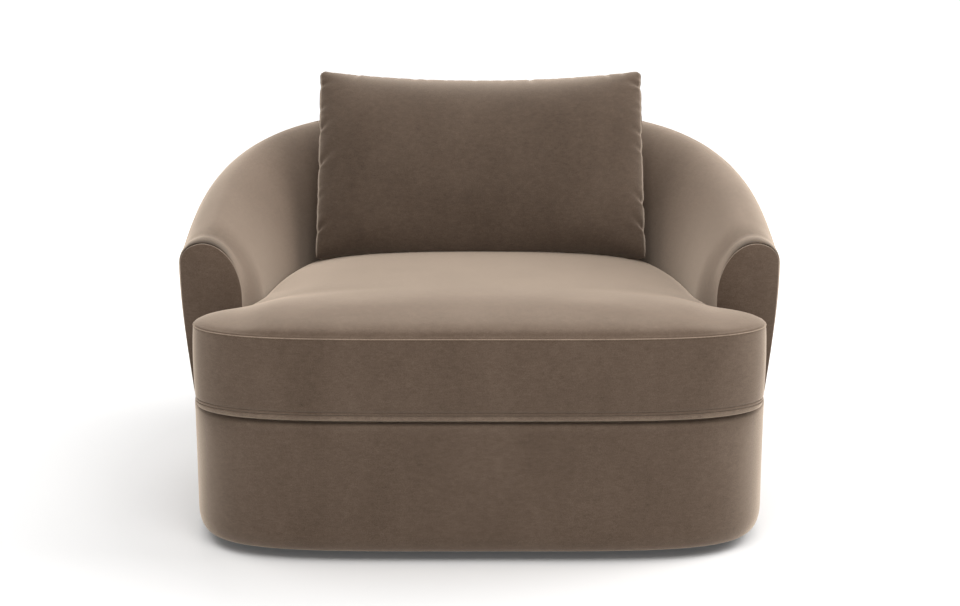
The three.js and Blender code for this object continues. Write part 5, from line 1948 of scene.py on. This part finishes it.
@dataclass
class DustCover:
    """The black cloth stapled under the base, with a square window for the turntable."""

    wardrobe: Wardrobe
    inset: float = 0.035
    window: float = 0.151
    cloth: float = 0.0012
    top: float = 0.0317
    sag: float = 0.0016
    staple_pitch: float = 0.045
    staple_width: float = 0.010
    staple_edge: float = 0.010
    staple_height: float = 0.0222
    wire: float = 0.0009

    def window_point(self, angle: float) -> np.ndarray:
        """The point of the square window in the direction of an angle."""
        c, s = math.cos(angle), math.sin(angle)
        reach = self.window / max(abs(c), abs(s))
        return np.array([c * reach, s * reach])

    def build(self) -> None:
        """Builds and dresses the cloth and its staples."""
        turns = list(np.linspace(0, 2 * math.pi, 241)[:-1])
        rows = []
        for share in np.linspace(0, 1, 14):
            row = []
            for angle in turns:
                outer = BASE.point(angle) + BASE.inward(angle) * self.inset
                inner = self.window_point(math.atan2(outer[1], outer[0]))
                x, y = mix(outer, inner, share)
                ripple = 0.25 * math.sin(19 * angle) * (1 - share)
                z = self.top - 0.0015 - self.sag * math.sin(math.pi * share) * (0.75 + ripple)
                row.append((x, y, z))
            rows.append(row)
        grid = np.array(rows)
        cloth = mesh_piece("dust_cloth", grid.reshape(-1, 3), sheet_faces(*grid.shape[:2], loop=True))
        turn_towards(cloth, (0.0, 0.0, -1.0))
        thicken(cloth, self.cloth)
        self.wardrobe.dress(cloth, Finish.LINING, Body.CHAIR, "dust_cover")
        self.staple_hem()

    def staple_hem(self) -> None:
        """Bends one staple by hand, then copies it round the hem."""
        places = []
        for angle in BASE.angles(self.staple_pitch)[:-1]:
            inward = BASE.inward(angle)
            x, y = BASE.point(angle) + inward * (self.inset - self.staple_edge)
            turn = math.atan2(inward[1], inward[0]) + math.pi / 2
            places.append(Matrix.Translation((x, y, self.staple_height)) @ Matrix.Rotation(turn, 4, "Z"))
        staples = copies_piece("hem_staples", self.bent_staple(), places)
        self.wardrobe.dress(staples, Finish.ZINC_STEEL, Body.CHAIR)

    def bent_staple(self) -> bpy.types.Object:
        """One staple: a flattened wire whose ends are turned up into the hem."""
        staple = open_block((self.staple_width, self.wire, self.wire))
        for side in (-1, 1):
            bpy.ops.mesh.select_all(action="DESELECT")
            mesh = bmesh.from_edit_mesh(staple.data)
            for face in mesh.faces:
                face.select_set(face.normal.x * side > 0.9)
            bmesh.update_edit_mesh(staple.data)
            for out, up in ((1.0, 0.4), (0.3, 1.0)):
                step = (side * self.wire * out, 0.0, self.wire * up)
                bpy.ops.mesh.extrude_region_move(TRANSFORM_OT_translate={"value": step})
        bpy.ops.mesh.select_all(action="SELECT")
        bpy.ops.mesh.bevel(offset=self.wire * 0.22, segments=1, affect="EDGES")
        bpy.ops.object.mode_set(mode="OBJECT")
        return staple


@dataclass
class CushionZip:
    """The zip across the back of the cushion: two tapes and a row of teeth."""

    wardrobe: Wardrobe
    half: float = 0.1402
    face_y: float = 0.2768
    middle_z: float = 0.3737
    tape_half: float = 0.0108
    tape: float = 0.0008
    pitch: float = 0.0036
    end_gap: float = 0.004
    stagger: float = 0.0009

    def build(self) -> None:
        """Builds and dresses the tapes and the teeth."""
        self.lay_tapes()
        self.set_teeth()

    def lay_tapes(self) -> None:
        """Cuts both tapes from one plane, with a turned edge along the teeth."""
        tape_y = self.face_y - 0.0012
        deselect()
        bpy.ops.mesh.primitive_plane_add(size=1.0, location=(0.0, tape_y, self.middle_z))
        tape = bpy.context.active_object
        tape.name = "zip_tapes"
        bpy.ops.object.mode_set(mode="EDIT")
        bpy.ops.mesh.select_all(action="SELECT")
        bpy.ops.transform.resize(value=(2 * self.half, 2 * self.tape_half, 1.0))
        bpy.ops.mesh.subdivide(number_cuts=11)
        bpy.ops.object.mode_set(mode="OBJECT")
        bpy.ops.object.transform_apply(location=True)
        for v in tape.data.vertices:
            across = v.co.y - tape_y
            ridge = 0.0007 * math.exp(-(((abs(across) - 0.0032) / 0.0012) ** 2))
            v.co = (v.co.x, tape_y + ridge, self.middle_z + across)
        turn_towards(tape, (0.0, 1.0, 0.0))
        thicken(tape, self.tape)
        self.wardrobe.dress(tape, Finish.ZIP_TAPE, Body.SEAT, "seat_zip")

    def set_teeth(self) -> None:
        """Forges one tooth by hand, then sets both staggered rows."""
        tooth = open_block((0.0014, 0.0011, 0.0030))
        bpy.ops.mesh.bevel(offset=0.00025, segments=1, affect="EDGES")
        bpy.ops.object.mode_set(mode="OBJECT")
        row_half, places = self.half - self.end_gap, []
        for k in range(2 * int(2 * row_half / self.pitch)):
            z = self.middle_z + (self.stagger if k % 2 else -self.stagger)
            places.append(Matrix.Translation((k / 2 * self.pitch - row_half, self.face_y + 0.0001, z)))
        teeth = copies_piece("zip_teeth", tooth, places)
        self.wardrobe.dress(teeth, Finish.ZINC_STEEL, Body.SEAT)


# The room and the whole chair


class LampKind(Enum):
    """The studio's lamps: place, size and strength."""

    FRONT_TOP = ((0.0, -1.9, 2.6), (2.4, 1.6), 47.0)
    REAR_TOP = ((0.0, 2.0, 2.4), (2.4, 1.6), 38.0)
    HIGH_RIGHT = ((2.7, -0.1, 2.1), (1.8, 1.8), 60.0)
    UPPER_RIGHT = ((2.1, 0.2, 2.7), (1.6, 1.6), 18.0)
    UPPER_LEFT = ((-2.1, 0.2, 2.7), (1.6, 1.6), 25.0)


def joined(tree: bpy.types.NodeTree, operation: str, a: Socket, b: Socket) -> Socket:
    """Adds a node that works out one value from two."""
    node = tree.nodes.new("ShaderNodeMath")
    node.operation = operation
    tree.links.new(a, node.inputs[0])
    tree.links.new(b, node.inputs[1])
    return node.outputs[0]


@dataclass
class Studio:
    """The room: a pale floor with the chair's shadow, soft lamps, and the camera."""

    floor_size: float = 30.0
    floor_colour: Colour = (0.84, 0.84, 0.84)
    fill: float = 0.36
    near_glow: float = 0.055
    far_glow: float = 0.85
    glow_start: float = 0.8
    glow_end: float = 3.2
    lamp_colour: Colour = (1.0, 0.99, 0.98)
    aim: tuple[float, float, float] = (0.0, 0.0, 0.4)
    lens: float = 67.185
    sensor: float = 36.0
    shift: float = 0.0005
    distance: float = 3.786
    eye_height: float = 1.335
    look_down: float = 13.95

    def build(self) -> None:
        """Builds the room."""
        self.lay_floor()
        self.light()
        self.place_camera()

    def lay_floor(self) -> None:
        """Lays the floor, which shows white to the camera but keeps the shadow."""
        deselect()
        bpy.ops.mesh.primitive_plane_add(size=self.floor_size, location=(0.0, 0.0, -0.0002))
        floor = bpy.context.active_object
        floor.name = "floor"
        bpy.ops.object.transform_apply(location=True)
        sketch = NodeSketch("pale_floor")
        sketch.surface(Base_Color=self.floor_colour, Roughness=0.9, Specular_IOR_Level=0.1)
        rays, reach = sketch.add("LightPath"), sketch.add("VectorMath")
        reach.operation = "LENGTH"
        sketch.link(sketch.place, reach.inputs[0])
        far = sketch.remap(
            reach.outputs["Value"], self.glow_start, self.glow_end, self.near_glow, self.far_glow
        )
        seen = joined(sketch.tree, "MAXIMUM", rays.outputs["Is Camera Ray"], rays.outputs["Is Glossy Ray"])
        glow, both = sketch.add("Emission"), sketch.add("AddShader")
        sketch.link(joined(sketch.tree, "MULTIPLY", seen, far), glow.inputs["Strength"])
        sketch.link(sketch.shader.outputs[0], both.inputs[0])
        sketch.link(glow.outputs[0], both.inputs[1])
        sketch.link(both.outputs[0], sketch.output.inputs["Surface"])
        floor.data.materials.append(sketch.material)

    def light(self) -> None:
        """Hangs the lamps and sets the even light of the room."""
        for kind in LampKind:
            place, size, strength = kind.value
            lamp = bpy.data.lights.new(kind.name.lower(), "AREA")
            lamp.shape = "RECTANGLE"
            lamp.size, lamp.size_y = size
            lamp.energy = strength
            lamp.color = self.lamp_colour
            holder = linked(kind.name.lower(), lamp)
            holder.location = place
            aim = Vector(self.aim) - Vector(place)
            holder.rotation_euler = aim.to_track_quat("-Z", "Y").to_euler()
        world = bpy.data.worlds.new("studio")
        world.use_nodes = True
        tree = world.node_tree
        tree.nodes.clear()
        rays = tree.nodes.new("ShaderNodeLightPath").outputs
        seen = joined(tree, "MAXIMUM", rays["Is Camera Ray"], rays["Is Transmission Ray"])
        shown = tree.nodes.new("ShaderNodeMapRange")
        shown.inputs["To Min"].default_value = self.fill
        shown.inputs["To Max"].default_value = 1.0
        tree.links.new(seen, shown.inputs["Value"])
        sky = tree.nodes.new("ShaderNodeBackground")
        sky.inputs["Color"].default_value = (1.0, 1.0, 1.0, 1.0)
        tree.links.new(shown.outputs["Result"], sky.inputs["Strength"])
        output = tree.nodes.new("ShaderNodeOutputWorld")
        tree.links.new(sky.outputs[0], output.inputs["Surface"])
        bpy.context.scene.world = world

    def place_camera(self) -> None:
        """Sets the camera at the viewing angle: straight ahead and a little above."""
        data = bpy.data.cameras.new("camera")
        data.lens, data.sensor_width = self.lens, self.sensor
        data.shift_x = self.shift
        camera = linked("camera", data)
        camera.location = (0.0, -self.distance, self.eye_height)
        camera.rotation_euler = (math.radians(90 - self.look_down), 0.0, 0.0)
        bpy.context.scene.camera = camera
        bpy.context.scene.view_settings.view_transform = "Standard"


METAL_NODES = ("turntable_", "ball_cage", "pivot_pin", "plinth_screw_", "spring_clip_", "seat_zip_slider")
BASE_BOARDS = ("base_board", "base_wall", "deck_ring")
UPPER_BOARDS = ("arm_front_board", "arm_top_rail", "arm_post", "back_top_rail", "back_post")
NODE_FINISHES = {
    Finish.RUBBER: ("glide_",),
    Finish.BLACK_WOOD: ("plinth_disc",),
    Finish.ZINC_STEEL: METAL_NODES,
    Finish.SPRING_STEEL: ("seat_spring_",),
    Finish.PLYWOOD: BASE_BOARDS + UPPER_BOARDS,
}


def dress_frame_nodes(wardrobe: Wardrobe) -> None:
    """Puts each frame node that stays in its finish."""
    for node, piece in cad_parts.items():
        for finish, starts in NODE_FINISHES.items():
            if node.startswith(starts) and not piece.hide_render:
                wardrobe.dress_node(node, finish)


def main() -> None:
    """Builds the chair's pieces in order, then the room round it."""
    logging.basicConfig(level=logging.INFO, format="%(message)s")
    wardrobe = Wardrobe()
    walls = WallCovers(wardrobe).build()
    WallFillings(wardrobe).build()
    BaseCover(wardrobe).build()
    DustCover(wardrobe).build()
    Deck(wardrobe).build()
    seat = SeatCushion(wardrobe).build()
    CushionZip(wardrobe).build()
    pillow = BackPillow(wardrobe).build(walls, seat)
    fillings = Fillings(wardrobe)
    fillings.cushion_foam()
    fillings.base_wadding()
    fillings.pillow_insert(pillow)
    dress_frame_nodes(wardrobe)
    Studio().build()


if __name__ == "__main__":
    main()
